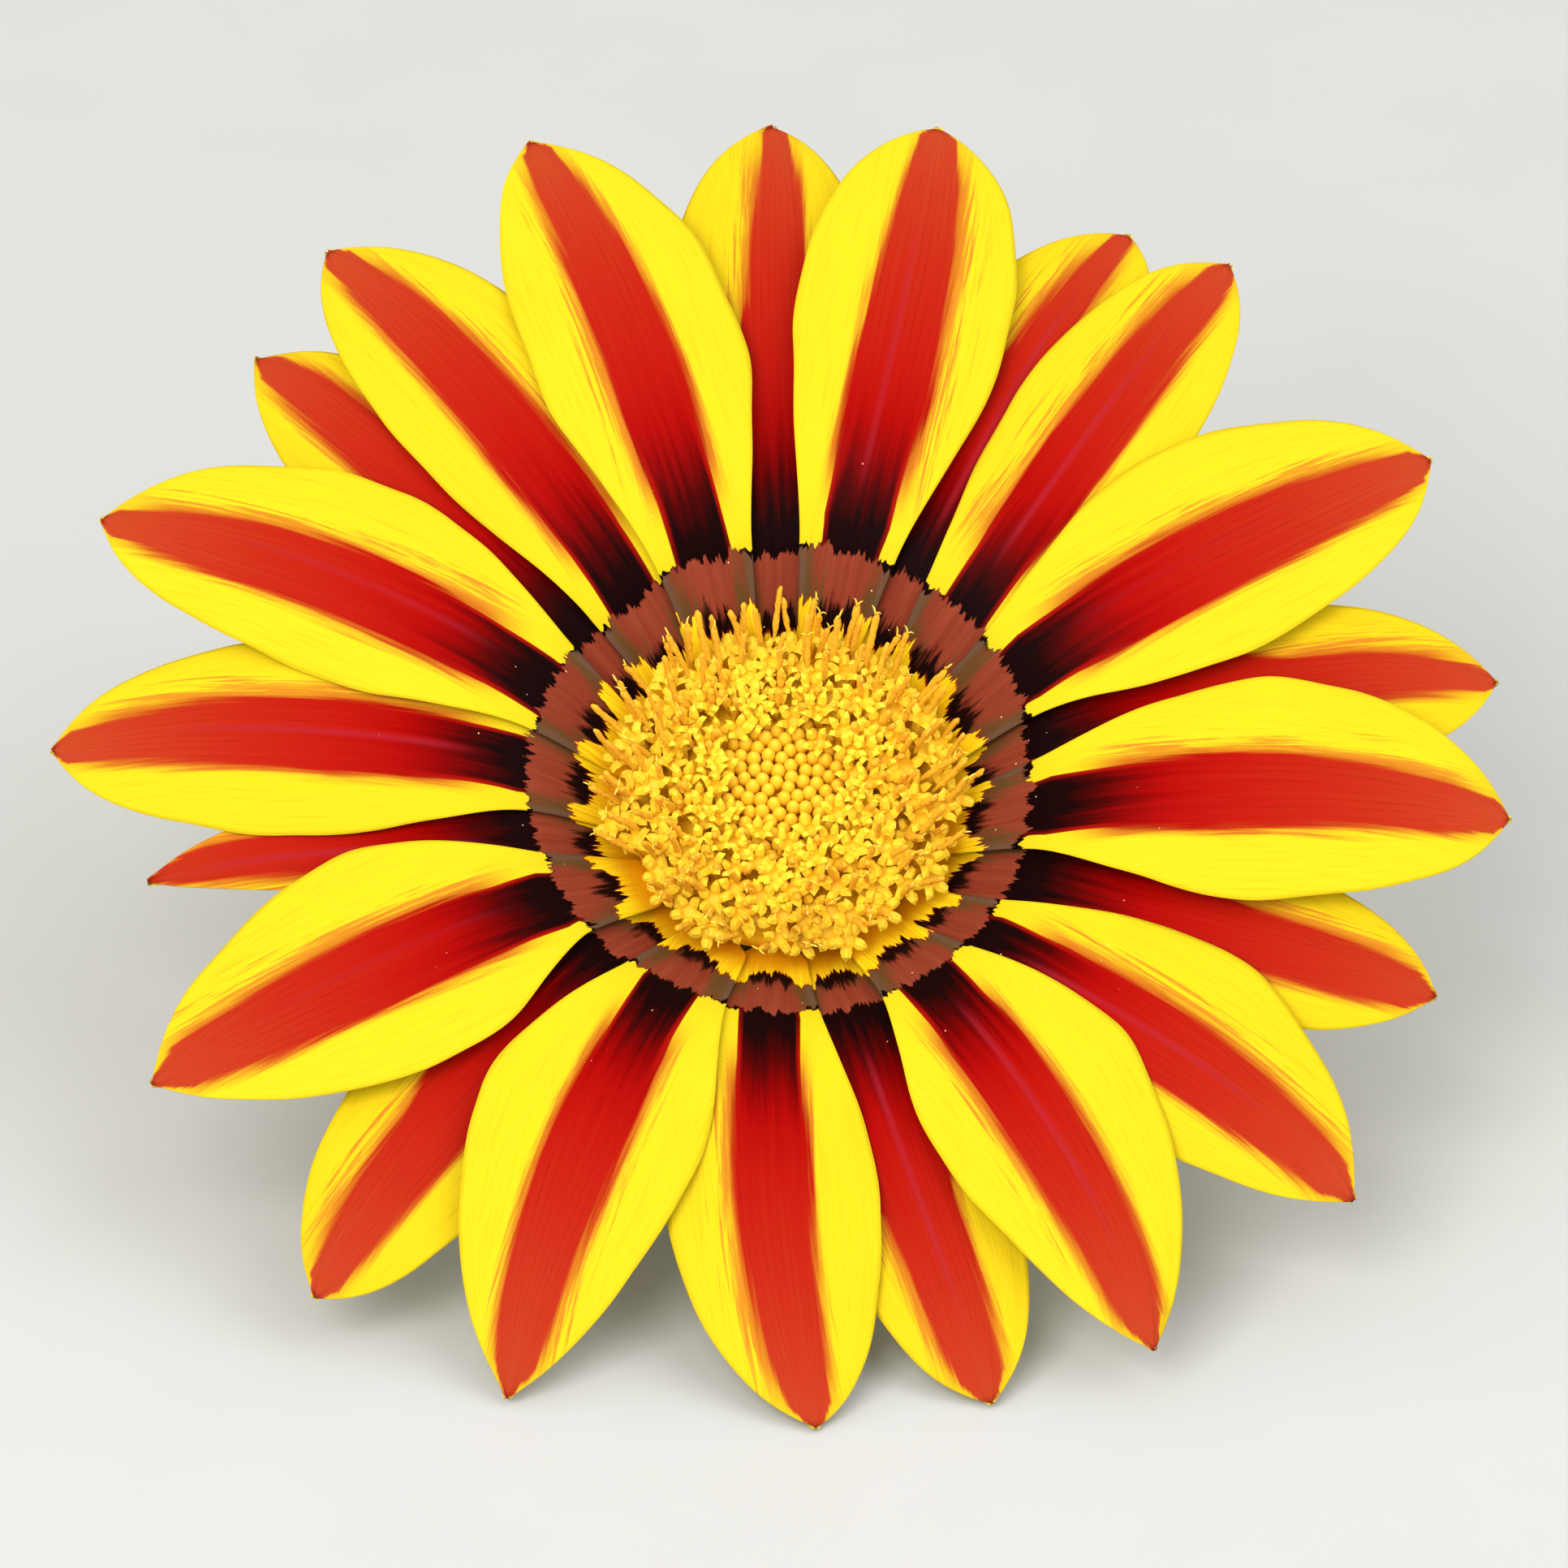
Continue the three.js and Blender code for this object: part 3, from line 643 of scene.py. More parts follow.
def shape_ray(number, row):
    """The upper surface of one ray, in metres, with its measures kept on the vertices."""
    tip_radius, layer = row[3], row[9]
    foot = FOOT_RADIUS[layer]
    seed = number * SEED_STEP
    low_gap = math.radians((row[0] - RAYS[number % len(RAYS)][0]) % 360) / 2
    high_gap = math.radians((RAYS[number - 2][0] - row[0]) % 360) / 2
    bm = bmesh.new()
    bmesh.ops.create_grid(bm, x_segments=COLUMNS, y_segments=ROWS, size=1)
    kept = [keep_number(bm, name) for name in RAY_MEASURES]
    stripe_shift, stripe_half, blush = STRIPES[number - 1]
    for vert in bm.verts:
        share = vert.co.x
        along = 1 - (0.5 - vert.co.y / 2) ** 1.6
        radius = between(foot, tip_radius, along)
        direction = midrib_direction(row, radius)
        outward = Vector((math.cos(direction), math.sin(direction), 0))
        sideways = Vector((outward.y, -outward.x, 0))
        widest_half, gap = (row[5], low_gap) if share > 0 else (row[6], high_gap)
        half = half_width(row, radius, widest_half, gap)
        wobble = noise.noise(Vector((radius * 0.22, seed * 9, 4 if share > 0 else 8)))
        half *= 1 + 0.045 * wobble * blend_smooth(radius, 16, 22)
        half *= 1 - (ROUND_END if row[8] == BLUNT else SHARP_END) * math.exp((radius - tip_radius) / 0.9)
        half = max(half, 0.03)
        across = share * half
        height = surface_height(row, radius, across, share, half, seed)
        vert.co = HEAD @ (outward * radius + sideways * across + Vector((0, 0, height)))
        values = (across, radius, share, half, tip_radius - radius, seed, 0.5 - layer / 2,
                  across - stripe_shift * min(half / 5, 1), stripe_half, blush)
        for measure, value in zip(kept, values):
            vert[measure] = value
    return bm


# %% The twenty-one rays
RAY_THICKNESS = 0.2
MARGIN_THINNING = 0.65
LEAST_THICKNESS = 0.1

for number, row in enumerate(RAYS, start=1):
    bm = shape_ray(number, row)
    name = f"ray_{number:02d}"
    piece = finish_piece(f"{name}_petal", bm, [ray_face, ray_back], [name])
    body = piece.vertex_groups.new(name="body")
    shares = piece.data.attributes["share"].data
    for index, item in enumerate(shares):
        body.add([index], 1 - MARGIN_THINNING * abs(item.value) ** 4, "REPLACE")
    solid = piece.modifiers.new("body", "SOLIDIFY")
    solid.thickness = RAY_THICKNESS * MM
    solid.offset = -1
    solid.vertex_group = "body"
    solid.thickness_vertex_group = LEAST_THICKNESS
    solid.material_offset = 1
print("faces on the upper side of a ray:", len(piece.data.polygons))

# %% [markdown]
# ## The floor under the disc
# Between the florets one looks down on crowded tubes and on chaff, golden in the shade of all that stands
# above. A low dome under the florets closes the view. Its half profile is drawn once and spun around the
# axis of the flower.

# %% Material and piece: disc floor
disc_floor_finish, tree, shader = new_material("chaffy_floor", roughness=0.7, specular=0.1)
place = object_place(tree)
patches = cloud(tree, place, scale=1800.0, detail=3.0)
chaff = paint(tree, patches.step(0.35, 0.65), linear(255, 196, 28), linear(255, 210, 40))
feed(tree, shader.inputs["Base Color"], chaff)
raise_surface(tree, shader, patches, 0.0003)

# Radius and height of each corner, in mm, from the top around the rim to the bottom.
RIM_HEIGHT = -3.1
FLOOR_PROFILE = [(0.0, -2.0), (2.4, -2.0), (4.2, -1.9), (6.4, -1.9), (8.0, -2.4), (8.8, RIM_HEIGHT),
                 (8.9, -4.3), (7.2, -6.0), (0.0, -6.9)]


def floor_height(radius):
    """The height of the floor at a radius, in mm. Outside the floor it is that of its rim."""
    for (r0, z0), (r1, z1) in zip(FLOOR_PROFILE, FLOOR_PROFILE[1:]):
        if r0 <= radius <= r1:
            return between(z0, z1, (radius - r0) / (r1 - r0))
    return RIM_HEIGHT


def spin_profile(points, steps):
    """A closed body of revolution around the flower's axis, still in the head's own millimetres."""
    bm = bmesh.new()
    verts = [bm.verts.new((radius, 0, height)) for radius, height in points]
    edges = [bm.edges.new(pair) for pair in zip(verts, verts[1:])]
    bmesh.ops.spin(
        bm, geom=verts + edges, cent=(0, 0, 0), axis=(0, 0, 1),
        angle=2 * math.pi, steps=steps, use_merge=True,
    )
    bmesh.ops.remove_doubles(bm, verts=bm.verts, dist=1e-4)
    bmesh.ops.recalc_face_normals(bm, faces=bm.faces)
    return bm


bm = spin_profile(FLOOR_PROFILE, 48)
bmesh.ops.transform(bm, matrix=HEAD, verts=bm.verts)
disc_floor = finish_piece("disc_floor", bm, [disc_floor_finish])
print("floor faces:", len(disc_floor.data.polygons))

# %% [markdown]
# ## Where the florets stand
# Sunflowers, daisies and gazanias all pack their florets in the same way: each new one stands 137.5 degrees
# further round than the last, and its distance grows with the square root of its number. That gives the
# crossing spirals. Lists of such seats serve the buds and the open florets, while the oldest florets, at
# the edge, stand in looser rows. All that is left to chance comes from one set of dice with a fixed start,
# so that the flower comes out the same each time.

# %% Seats on the spiral
GOLDEN_ANGLE = math.radians(137.508)
dice = random.Random(26)


def spiral_seats(inner, outer, spread):
    """(radius, direction) of every seat between two radii, in mm and radians."""
    seats = []
    number = 0
    while (radius := spread * math.sqrt(number + 0.5)) < outer:
        if radius >= inner:
            seats.append((radius, number * GOLDEN_ANGLE))
        number += 1
    return seats


def seat_matrix(radius, direction, height, lean, turn, size, sway=0.0):
    """Stands something at a seat, in mm: it leans outward, sways sideways and turns on itself."""
    return (
        Matrix.Rotation(direction, 4, "Z")
        @ Matrix.Translation((radius, 0, height))
        @ Matrix.Rotation(lean, 4, "Y")
        @ Matrix.Rotation(sway, 4, "X")
        @ Matrix.Rotation(turn, 4, "Z")
        @ Matrix.Scale(size, 4)
    )


def add_copy(bm, shape, matrix):
    """Adds a copy of a small mesh at a place, and returns its vertices."""
    first = len(bm.verts)
    bm.from_mesh(shape)
    bm.verts.ensure_lookup_table()
    verts = bm.verts[first:]
    bmesh.ops.transform(bm, matrix=matrix, verts=verts)
    return verts


def as_shape(name, bm):
    """Keeps a small bmesh as a mesh, to be copied many times."""
    mesh = bpy.data.meshes.new(name)
    bm.to_mesh(mesh)
    bm.free()
    return mesh


# %% [markdown]
# ## Colours of the florets, with painted light and shade
# Buds, lobes and anthers are all yellow to orange, but each in its own way: buds are waxy gold, with
# painted shade low down where they touch and a painted highlight on their tops; lobes are a clear warm
# yellow, more orange at their base and a little lighter at their tips, which is partly their own colour and
# partly painted light and shade; and anther columns turn from yellow at their foot to orange at their head
# and are rough with pollen. A number that rises from the base of each floret to its tip tells the material
# where it is.

# %% Materials: bud, floret, anther, style
def floret_colour_and_shade(name, low, middle, high, grain, roughness, bump):
    """Colours that run from a floret's base to its tip, with a fine grain over them. On buds and lobes this
    run holds painted shade below and painted light above.
    """
    material, tree, shader = new_material(name, roughness=roughness, specular=0.18)
    up = number_on(tree, "up")
    luck = number_on(tree, "luck")
    speckle = cloud(tree, object_place(tree), scale=grain, detail=3.0, roughness=0.6)
    # The ramp from base to tip: on buds it is painted shade below and a painted highlight on top; on lobes
    # it is partly their own colour and partly painted light and shade.
    colour = ramp(tree, up + (speckle - 0.5) * 0.2, [(0.0, low), (0.45, middle), (1.0, high)])
    colour = paint(tree, speckle.step(0.55, 0.75) * 0.35, colour, low)
    colour = paint(tree, luck * 0.3, colour, middle)
    feed(tree, shader.inputs["Base Color"], colour)
    feed(tree, shader.inputs["Roughness"], roughness + (speckle - 0.5) * 0.3)
    raise_surface(tree, shader, speckle, bump)
    return material


# Buds: the darker low colour is painted shade where they touch, the lighter high colour a painted
# highlight.
bud_wax_and_shade = floret_colour_and_shade(
    "bud_wax_and_shade", linear(226, 158, 22), linear(238, 190, 38), linear(246, 206, 56), 1700.0, 0.5, 0.00007
)
# Lobes: a little lighter towards the tips, partly their own colour and partly painted light.
lobe_colour_and_shade = floret_colour_and_shade(
    "lobe_colour_and_shade", linear(255, 204, 36), linear(247, 202, 42), linear(251, 214, 54), 1400.0, 0.45, 0.00004
)
anther_pollen = floret_colour_and_shade(
    "anther_pollen", linear(255, 222, 60), linear(251, 196, 46), linear(248, 178, 44), 5200.0, 0.75, 0.00012
)
style_flesh = floret_colour_and_shade(
    "style_flesh", linear(236, 176, 20), linear(246, 208, 60), linear(250, 226, 110), 3000.0, 0.5, 0.00003
)

# %% [markdown]
# ## The closed buds
# The youngest florets fill the middle. Each is a plump drop with a blunt tip, taller than wide, with five
# faint ridges where its lobes are folded, and the next ones press against it. A sphere of a few rings,
# stretched upwards and filled out below its tip, is such a drop.

# %% The buds
BUD_RADIUS = 0.43
BUD_ZONE, BUD_SPREAD = 4.3, 0.42

bm = bmesh.new()
bmesh.ops.create_uvsphere(bm, u_segments=10, v_segments=8, radius=BUD_RADIUS)
for vert in bm.verts:
    top = max(vert.co.z / BUD_RADIUS, 0)
    ridge = 0.07 * top * math.cos(5 * math.atan2(vert.co.y, vert.co.x))
    vert.co.xy *= 1 + top ** 2 * (1 - top) + ridge
    vert.co.z = vert.co.z * 2.1 + 0.06 * top ** 6
bud_shape = as_shape("bud", bm)

bm = bmesh.new()
up_layer, luck_layer = keep_number(bm, "up"), keep_number(bm, "luck")
for radius, direction in spiral_seats(0.0, BUD_ZONE, BUD_SPREAD):
    height = -1.55 - 0.012 * radius ** 2 + dice.uniform(-0.05, 0.05)
    size = dice.uniform(0.92, 1.02) * (1 + 0.01 * radius)
    matrix = seat_matrix(radius, direction, height, radius * 0.02, dice.uniform(0, 6), size)
    luck = dice.random()
    for vert, source in zip(add_copy(bm, bud_shape, matrix), bud_shape.vertices):
        vert[up_layer] = min(max(0.1 + source.co.z, 0), 1)
        vert[luck_layer] = luck
bmesh.ops.transform(bm, matrix=HEAD, verts=bm.verts)
buds = finish_piece("disc_bud_heads", bm, [bud_wax_and_shade], ["disc_buds"])
print("buds:", len(buds.data.polygons) // len(bud_shape.polygons), "faces each:", len(bud_shape.polygons))

# %% [markdown]
# ## The open florets
# An open floret is a narrow tube that ends in five pointed lobes, bent back like a star. A five-sided tube
# is the start. Its mouth is inset and sunk, for the throat. The band of five faces around the mouth is
# extruded three times, each face on its own, widened a little and then narrowed to a point: that makes five
# small bent wedges with a ridge along their inner side, closed all round, and the whole floret stays under
# a hundred faces. They are shaded flat, so that each facet catches the light like a crisp fresh lobe.

# %% Shape an open floret
TUBE_FOOT = 0.17
LIP_HEIGHT, LIP_WIDTH = 0.15, 0.08
# Columns: the part's share of the lobe's length; its width against the face it starts from; its thickness.
LOBE_PARTS = [(0.36, 1.12, 0.2), (0.34, 0.72, 0.15), (0.3, 0.06, 0.04)]
RIDGE_WIDTH = 0.2


def shape_floret(height, mouth, rises, length):
    """A tube with five lobes. rises are the angles at which the three parts of a lobe climb or droop."""
    bm = bmesh.new()
    bmesh.ops.create_cone(
        bm, cap_ends=True, cap_tris=False, segments=5, radius1=TUBE_FOOT, radius2=mouth, depth=height,
        matrix=Matrix.Translation((0, 0, height / 2)),
    )
    cap = max(bm.faces, key=lambda face: face.calc_center_median().z)
    bmesh.ops.inset_region(bm, faces=[cap], thickness=0.0, depth=0.0)
    for vert in cap.verts:
        vert.co.z += LIP_HEIGHT
    band = [face for face in bm.faces if len(face.verts) == 4 and face.calc_center_median().z > height]
    bmesh.ops.inset_region(bm, faces=[cap], thickness=LIP_WIDTH, depth=-LIP_HEIGHT)
    last_rise = 0.0
    for rise, (reach, width, body) in zip(rises, LOBE_PARTS):
        band = bmesh.ops.extrude_discrete_faces(bm, faces=band)["faces"]
        for face in band:
            middle = face.calc_center_median()
            outward = Vector((middle.x, middle.y, 0)).normalized()
            sideways = Vector((-outward.y, outward.x, 0))
            path = outward * math.cos(rise) + Vector((0, 0, math.sin(rise)))
            old_inside = Vector((0, 0, math.cos(last_rise))) - outward * math.sin(last_rise)
            inside = Vector((0, 0, math.cos(rise))) - outward * math.sin(rise)
            for vert in face.verts:
                offset = vert.co - middle
                inner = offset.dot(old_inside) > 0
                ridge = RIDGE_WIDTH if inner and last_rise == 0.0 else 1
                side = offset.dot(sideways) * width * ridge
                vert.co = middle + path * length * reach + sideways * side + inside * body * (inner - 0.5)
        last_rise = rise
    bmesh.ops.recalc_face_normals(bm, faces=bm.faces)
    return bm


FLORET_SHAPES = [
    as_shape("young floret", shape_floret(1.85, 0.32, (1.4, 1.05, 0.2), 0.86)),
    as_shape("open floret", shape_floret(1.7, 0.34, (1.3, 0.75, -0.4), 0.84)),
    as_shape("wide floret", shape_floret(1.5, 0.36, (1.15, 0.4, -0.8), 0.86)),
]
print("faces of a floret:", [len(shape.polygons) for shape in FLORET_SHAPES])

# %% [markdown]
# ### Where the open florets stand
# Towards the rim the florets are older and wider, and lean further out. The outermost ones stand less deep
# in the chaff, because the funnel of the rays rises close behind them and their tubes mustn't pass through
# it. For the same reason they end before the edge, which is left to the anther columns.

# %% Plant the open florets
FLORET_ZONE, FLORET_SPREAD = (4.2, 8.6), 0.55
AGEING_DISTANCE = 4.7

bm = bmesh.new()
up_layer, luck_layer = keep_number(bm, "up"), keep_number(bm, "luck")
floret_seats = spiral_seats(*FLORET_ZONE, FLORET_SPREAD)
for radius, direction in floret_seats:
    age = (radius - BUD_ZONE) / AGEING_DISTANCE + dice.uniform(-0.2, 0.2)
    shape = FLORET_SHAPES[min(max(int(age * 3), 0), 2)]
    at_rim = blend_smooth(radius, 7.2, 8.4)
    lean = between(-0.12, 0.3, blend_smooth(radius, 5.0, 8.0)) + 0.26 * at_rim
    lean += dice.uniform(-0.22, 0.22) * between(1, 0.6, at_rim)
    place = radius + dice.uniform(-0.12, 0.12) * (1 + 1.5 * at_rim)
    height = floor_height(radius) - between(1.1, 0.9, at_rim) + dice.uniform(-0.2, 0.25)
    turn, size, sway = dice.uniform(0, 6), dice.uniform(1.22, 1.5), dice.uniform(-0.22, 0.22)
    matrix = seat_matrix(place, direction, height, lean, turn, size, sway)
    luck = dice.random()
    for vert, source in zip(add_copy(bm, shape, matrix), shape.vertices):
        vert[up_layer] = min(max((source.co.z - 0.4) / 1.2, 0), 1)
        vert[luck_layer] = luck
        if source.co.z > 1.35:
            vert.co += Vector([dice.uniform(-0.025, 0.025) for _ in range(3)])
bmesh.ops.transform(bm, matrix=HEAD, verts=bm.verts)
florets = finish_piece("disc_open_florets", bm, [lobe_colour_and_shade], ["disc_florets"], smooth=False)
print("open florets:", len(floret_seats), "faces in all:", len(florets.data.polygons))

# %% [markdown]
# ## Anther columns and styles
# In an older floret five anthers, joined to a tube, push up out of the mouth and shed orange pollen. Then
# the style grows through the tube and opens in two curled arms. A column is a six-sided rod with a thin
# neck and a knobbly, swollen upper half, and the two arms of a style are tiny bent rods.

# %% Shape the columns and the styles
def shape_rod(points, radii, sides):
    """A closed rod through points: a disc is extruded from each point to the next."""
    bm = bmesh.new()
    start = bmesh.ops.create_circle(bm, cap_ends=True, segments=sides, radius=radii[0])["verts"]
    heading = (points[1] - points[0]).normalized()
    turn = Vector((0, 0, 1)).rotation_difference(heading).to_matrix().to_4x4()
    bmesh.ops.transform(bm, matrix=Matrix.Translation(points[0]) @ turn, verts=start)
    face = bm.faces[:][0]
    for place, radius in zip(points[1:], radii[1:]):
        old_middle = face.calc_center_median()
        old_radius = (face.verts[0].co - old_middle).length
        face = bmesh.ops.extrude_discrete_faces(bm, faces=[face])["faces"][0]
        for vert in face.verts:
            vert.co = place + (vert.co - old_middle) * (radius / old_radius)
    bmesh.ops.holes_fill(bm, edges=[edge for edge in bm.edges if edge.is_boundary], sides=0)
    bmesh.ops.recalc_face_normals(bm, faces=bm.faces)
    return bm


# Share of the column's length, and its radius there in mm.
COLUMN_PROFILE = [(0.0, 0.14), (0.3, 0.13), (0.38, 0.17), (0.46, 0.22), (0.53, 0.2), (0.6, 0.23),
                  (0.67, 0.21), (0.74, 0.23), (0.81, 0.2), (0.88, 0.23), (0.95, 0.21), (1.0, 0.11)]


def shape_column(length, bend):
    """An anther column that rises from the mouth of its floret."""
    points = [Vector((bend * share ** 2, 0, length * share)) for share, _ in COLUMN_PROFILE]
    return shape_rod(points, [radius for _, radius in COLUMN_PROFILE], 6)


def shape_style(curl):
    """Two curled arms at the top of a column."""
    arms = bmesh.new()
    for way in (-1, 1):
        points = [Vector((0, way * curl * share ** 1.5, 0.75 * share - 0.6 * curl * share ** 3))
                  for share in (0, 0.35, 0.7, 1)]
        arm = as_shape("arm", shape_rod(points, (0.07, 0.065, 0.055, 0.02), 5))
        arms.from_mesh(arm)
    return arms


COLUMN_SHAPES = [as_shape("column", shape_column(length, bend))
                 for length, bend in ((5.4, 0.5), (4.9, -0.3), (5.8, 0.15))]
YOUNG_COLUMN = as_shape("young column", shape_column(2.4, 0.15))
STYLE_SHAPES = [as_shape("style", shape_style(curl)) for curl in (0.3, 0.5)]
print("faces of a column:", len(COLUMN_SHAPES[0].polygons), "of a style:", len(STYLE_SHAPES[0].polygons))

# %% Plant the columns and the styles
columns = bmesh.new()
up_layer, luck_layer = keep_number(columns, "up"), keep_number(columns, "luck")
styles = bmesh.new()
style_up, style_luck = keep_number(styles, "up"), keep_number(styles, "luck")


def plant_column(shape, radius, direction, height, lean, size, with_style):
    """One column at its place, rough as pollen is, with or without a style."""
    matrix = seat_matrix(radius, direction, height, lean, dice.uniform(0, 6), size, dice.uniform(-0.2, 0.2))
    length = max(vert.co.z for vert in shape.vertices)
    luck = dice.random()
    for vert, source in zip(add_copy(columns, shape, matrix), shape.vertices):
        up = source.co.z / length
        vert[up_layer] = up
        vert[luck_layer] = luck
        if 0.35 < up < 0.99:
            vert.co += Vector([dice.uniform(-0.06, 0.06) for _ in range(3)])
    if with_style:
        tip = max(shape.vertices, key=lambda vert: vert.co.z).co
        style = dice.choice(STYLE_SHAPES)
        place = matrix @ Matrix.Translation((tip.x, tip.y, tip.z - 0.1))
        for vert, source in zip(add_copy(styles, style, place), style.vertices):
            vert[style_up] = min(source.co.z / 0.6, 1)
            vert[style_luck] = luck


# Columns: radius of the row in mm, how many stand in it, their lean in radians, their size.
OUTER_ROWS = [(8.85, 38, 0.46, 0.9), (8.2, 34, 0.4, 0.92), (7.4, 30, 0.3, 0.88), (6.6, 22, 0.2, 0.8)]
STYLE_SHARE = 0.55
YOUNG_COLUMNS, YOUNG_ZONE = 42, (4.4, 6.8)

for row_radius, count, lean, size in OUTER_ROWS:
    for step in range(count):
        direction = (step + dice.uniform(-0.32, 0.32)) / count * 2 * math.pi
        radius = row_radius + dice.uniform(-0.25, 0.25)
        tilt = lean + dice.uniform(-0.14, 0.16)
        height = floor_height(radius) + 0.2
        shape = dice.choice(COLUMN_SHAPES)
        own_size = size * dice.uniform(0.82, 1.1)
        with_style = dice.random() < STYLE_SHARE
        plant_column(shape, radius, direction, height, tilt, own_size, with_style)

young_seats = [seat for seat in floret_seats if YOUNG_ZONE[0] < seat[0] < YOUNG_ZONE[1]]
for radius, direction in dice.sample(young_seats, YOUNG_COLUMNS):
    tilt = between(0.05, 0.45, (radius - YOUNG_ZONE[0]) / 2.8) + dice.uniform(-0.15, 0.15)
    height = floor_height(radius) + 0.6
    plant_column(YOUNG_COLUMN, radius, direction, height, tilt, dice.uniform(0.85, 1.15), False)

for bm in (columns, styles):
    bmesh.ops.transform(bm, matrix=HEAD, verts=bm.verts)
anther_columns = finish_piece("disc_anther_columns", columns, [anther_pollen], ["disc_anthers"])
style_arms = finish_piece("disc_style_arms", styles, [style_flesh])
print("columns:", len(anther_columns.data.polygons) // len(COLUMN_SHAPES[0].polygons))
print("of them with a style:", len(style_arms.data.polygons) // len(STYLE_SHAPES[0].polygons))

# %% [markdown]
# ## The green cup
# Below the rays the bracts have grown together to a cup. Its wall is grooved where one bract meets the
# next, and their free ends stand out in two full rows of pointed teeth, with a few small teeth below. The
# cup is spun from its profile, then each vertex is pushed in or out to make the ribs, and each tooth is a
# small grid, bent, pointed and given a body.

# %% Materials: cup and stalk
def green_finish(name, dark, light, edge):
    """Green tissue with fibres and cloudy patches, and another colour where the piece's rim number says."""
    material, tree, shader = new_material(name, roughness=0.5, specular=0.35)
    around = number_on(tree, "around")
    run = number_on(tree, "run")
    rim = number_on(tree, "rim")
    fibres = use_group(tree, fibre_group, Across=around, Along=run, Seed=1.0, Per_Unit=1.6)
    patches = cloud(tree, object_place(tree), scale=260.0, detail=4.0)
    colour = paint(tree, (fibres["Fine"] - 0.5).step(-0.2, 0.25), dark, light)
    colour = paint(tree, patches.step(0.45, 0.75) * 0.4, colour, dark)
    colour = paint(tree, rim, colour, edge)
    feed(tree, shader.inputs["Base Color"], colour)
    feed(tree, shader.inputs["Roughness"], 0.46 + patches * 0.16)
    raise_surface(tree, shader, fibres["Fine"] + fibres["Broad"], 0.00012, 0.8)
    return material


cup_green = green_finish("cup_green", linear(72, 98, 36), linear(120, 146, 62), linear(150, 92, 58))
stalk_green = green_finish("stalk_green", linear(88, 116, 48), linear(132, 160, 78), linear(206, 214, 160))

# %% The cup
# Radius and height of each corner, in mm, from the middle of the underside around the rim to the inside.
CUP_BOTTOM = -15.4
CUP_PROFILE = [(0.0, -15.6), (1.4, -15.7), (2.3, -15.6), (3.1, CUP_BOTTOM), (4.0, -14.9), (5.0, -14.1),
               (5.9, -13.0), (6.6, -11.8), (7.2, -10.6), (7.8, -9.5), (8.5, -8.4), (9.2, -7.5), (9.6, -7.0),
               (9.4, -6.75), (9.05, -7.1), (0.0, -7.1)]
BRACTS = 18
RIB_SHARE = 0.045

bm = spin_profile(CUP_PROFILE, BRACTS * 8)
around_layer, run_layer, rim_layer = (keep_number(bm, name) for name in ("around", "run", "rim"))
for vert in bm.verts:
    radius = math.hypot(vert.co.x, vert.co.y)
    direction = math.atan2(vert.co.y, vert.co.x)
    wall = blend_smooth(vert.co.z, CUP_BOTTOM, -12) * (1 - blend_smooth(vert.co.z, -7.4, -6.9))
    groove = abs(math.sin(direction * BRACTS / 2)) ** 0.35
    if radius > 1:
        vert.co.xy *= 1 + wall * RIB_SHARE * (groove - 0.8)
    vert[around_layer] = direction * 8
    vert[run_layer] = vert.co.z
    vert[rim_layer] = 0.35 * blend_smooth(vert.co.z, -9.5, -7)

# %% The teeth of the cup
# Columns: how many; radius and height of the root and of the tip; width; how far the row is turned, as a
# share of the step from one tooth to the next.
TOOTH_ROWS = [
    (BRACTS, (9.0, -7.5), (12.3, -4.6), 2.5, 0.0),
    (BRACTS, (7.5, -10.4), (10.2, -7.9), 2.0, 0.5),
    (BRACTS // 2, (5.6, -13.0), (7.5, -11.4), 1.3, 0.25),
]
TOOTH_THICKNESS = 0.28


def shape_tooth(root, tip, width):
    """One pointed tooth, in the head's mm, that points along X."""
    tooth = bmesh.new()
    bmesh.ops.create_grid(tooth, x_segments=6, y_segments=9, size=1)
    run, rim, around = (keep_number(tooth, name) for name in ("run", "rim", "around"))
    for vert in tooth.verts:
        share, along = vert.co.x, (vert.co.y + 1) / 2
        half = width / 2 * (1 - along ** 1.7) + 0.03
        radius = between(root[0] - 0.5, tip[0], along) + 0.5 * math.sin(math.pi * along)
        height = between(root[1] - 0.5, tip[1], along) - 0.45 * math.sin(math.pi * along)
        height += 0.2 * share ** 2 * (1 - along)
        vert[run] = height
        vert[around] = share * 3
        vert[rim] = max(blend_smooth(along, 0.7, 1), 0.6 * blend_smooth(abs(share), 0.7, 1))
        vert.co = Vector((radius, -share * half, height))
    bmesh.ops.solidify(tooth, geom=tooth.faces[:], thickness=TOOTH_THICKNESS)
    bmesh.ops.recalc_face_normals(tooth, faces=tooth.faces)
    return as_shape("tooth", tooth)


for count, root, tip, width, shift in TOOTH_ROWS:
    for step in range(count):
        longer = dice.uniform(0.85, 1.12)
        end = (between(root[0], tip[0], longer), between(root[1], tip[1], longer))
        tooth = shape_tooth(root, end, width * dice.uniform(0.9, 1.1))
        direction = (step + shift + dice.uniform(-0.1, 0.1)) / count * 2 * math.pi
        add_copy(bm, tooth, Matrix.Rotation(direction, 4, "Z"))
        bpy.data.meshes.remove(tooth)
bmesh.ops.transform(bm, matrix=HEAD, verts=bm.verts)
cup = finish_piece("involucre_cup", bm, [cup_green], ["involucre"])
print("cup faces:", len(cup.data.polygons))

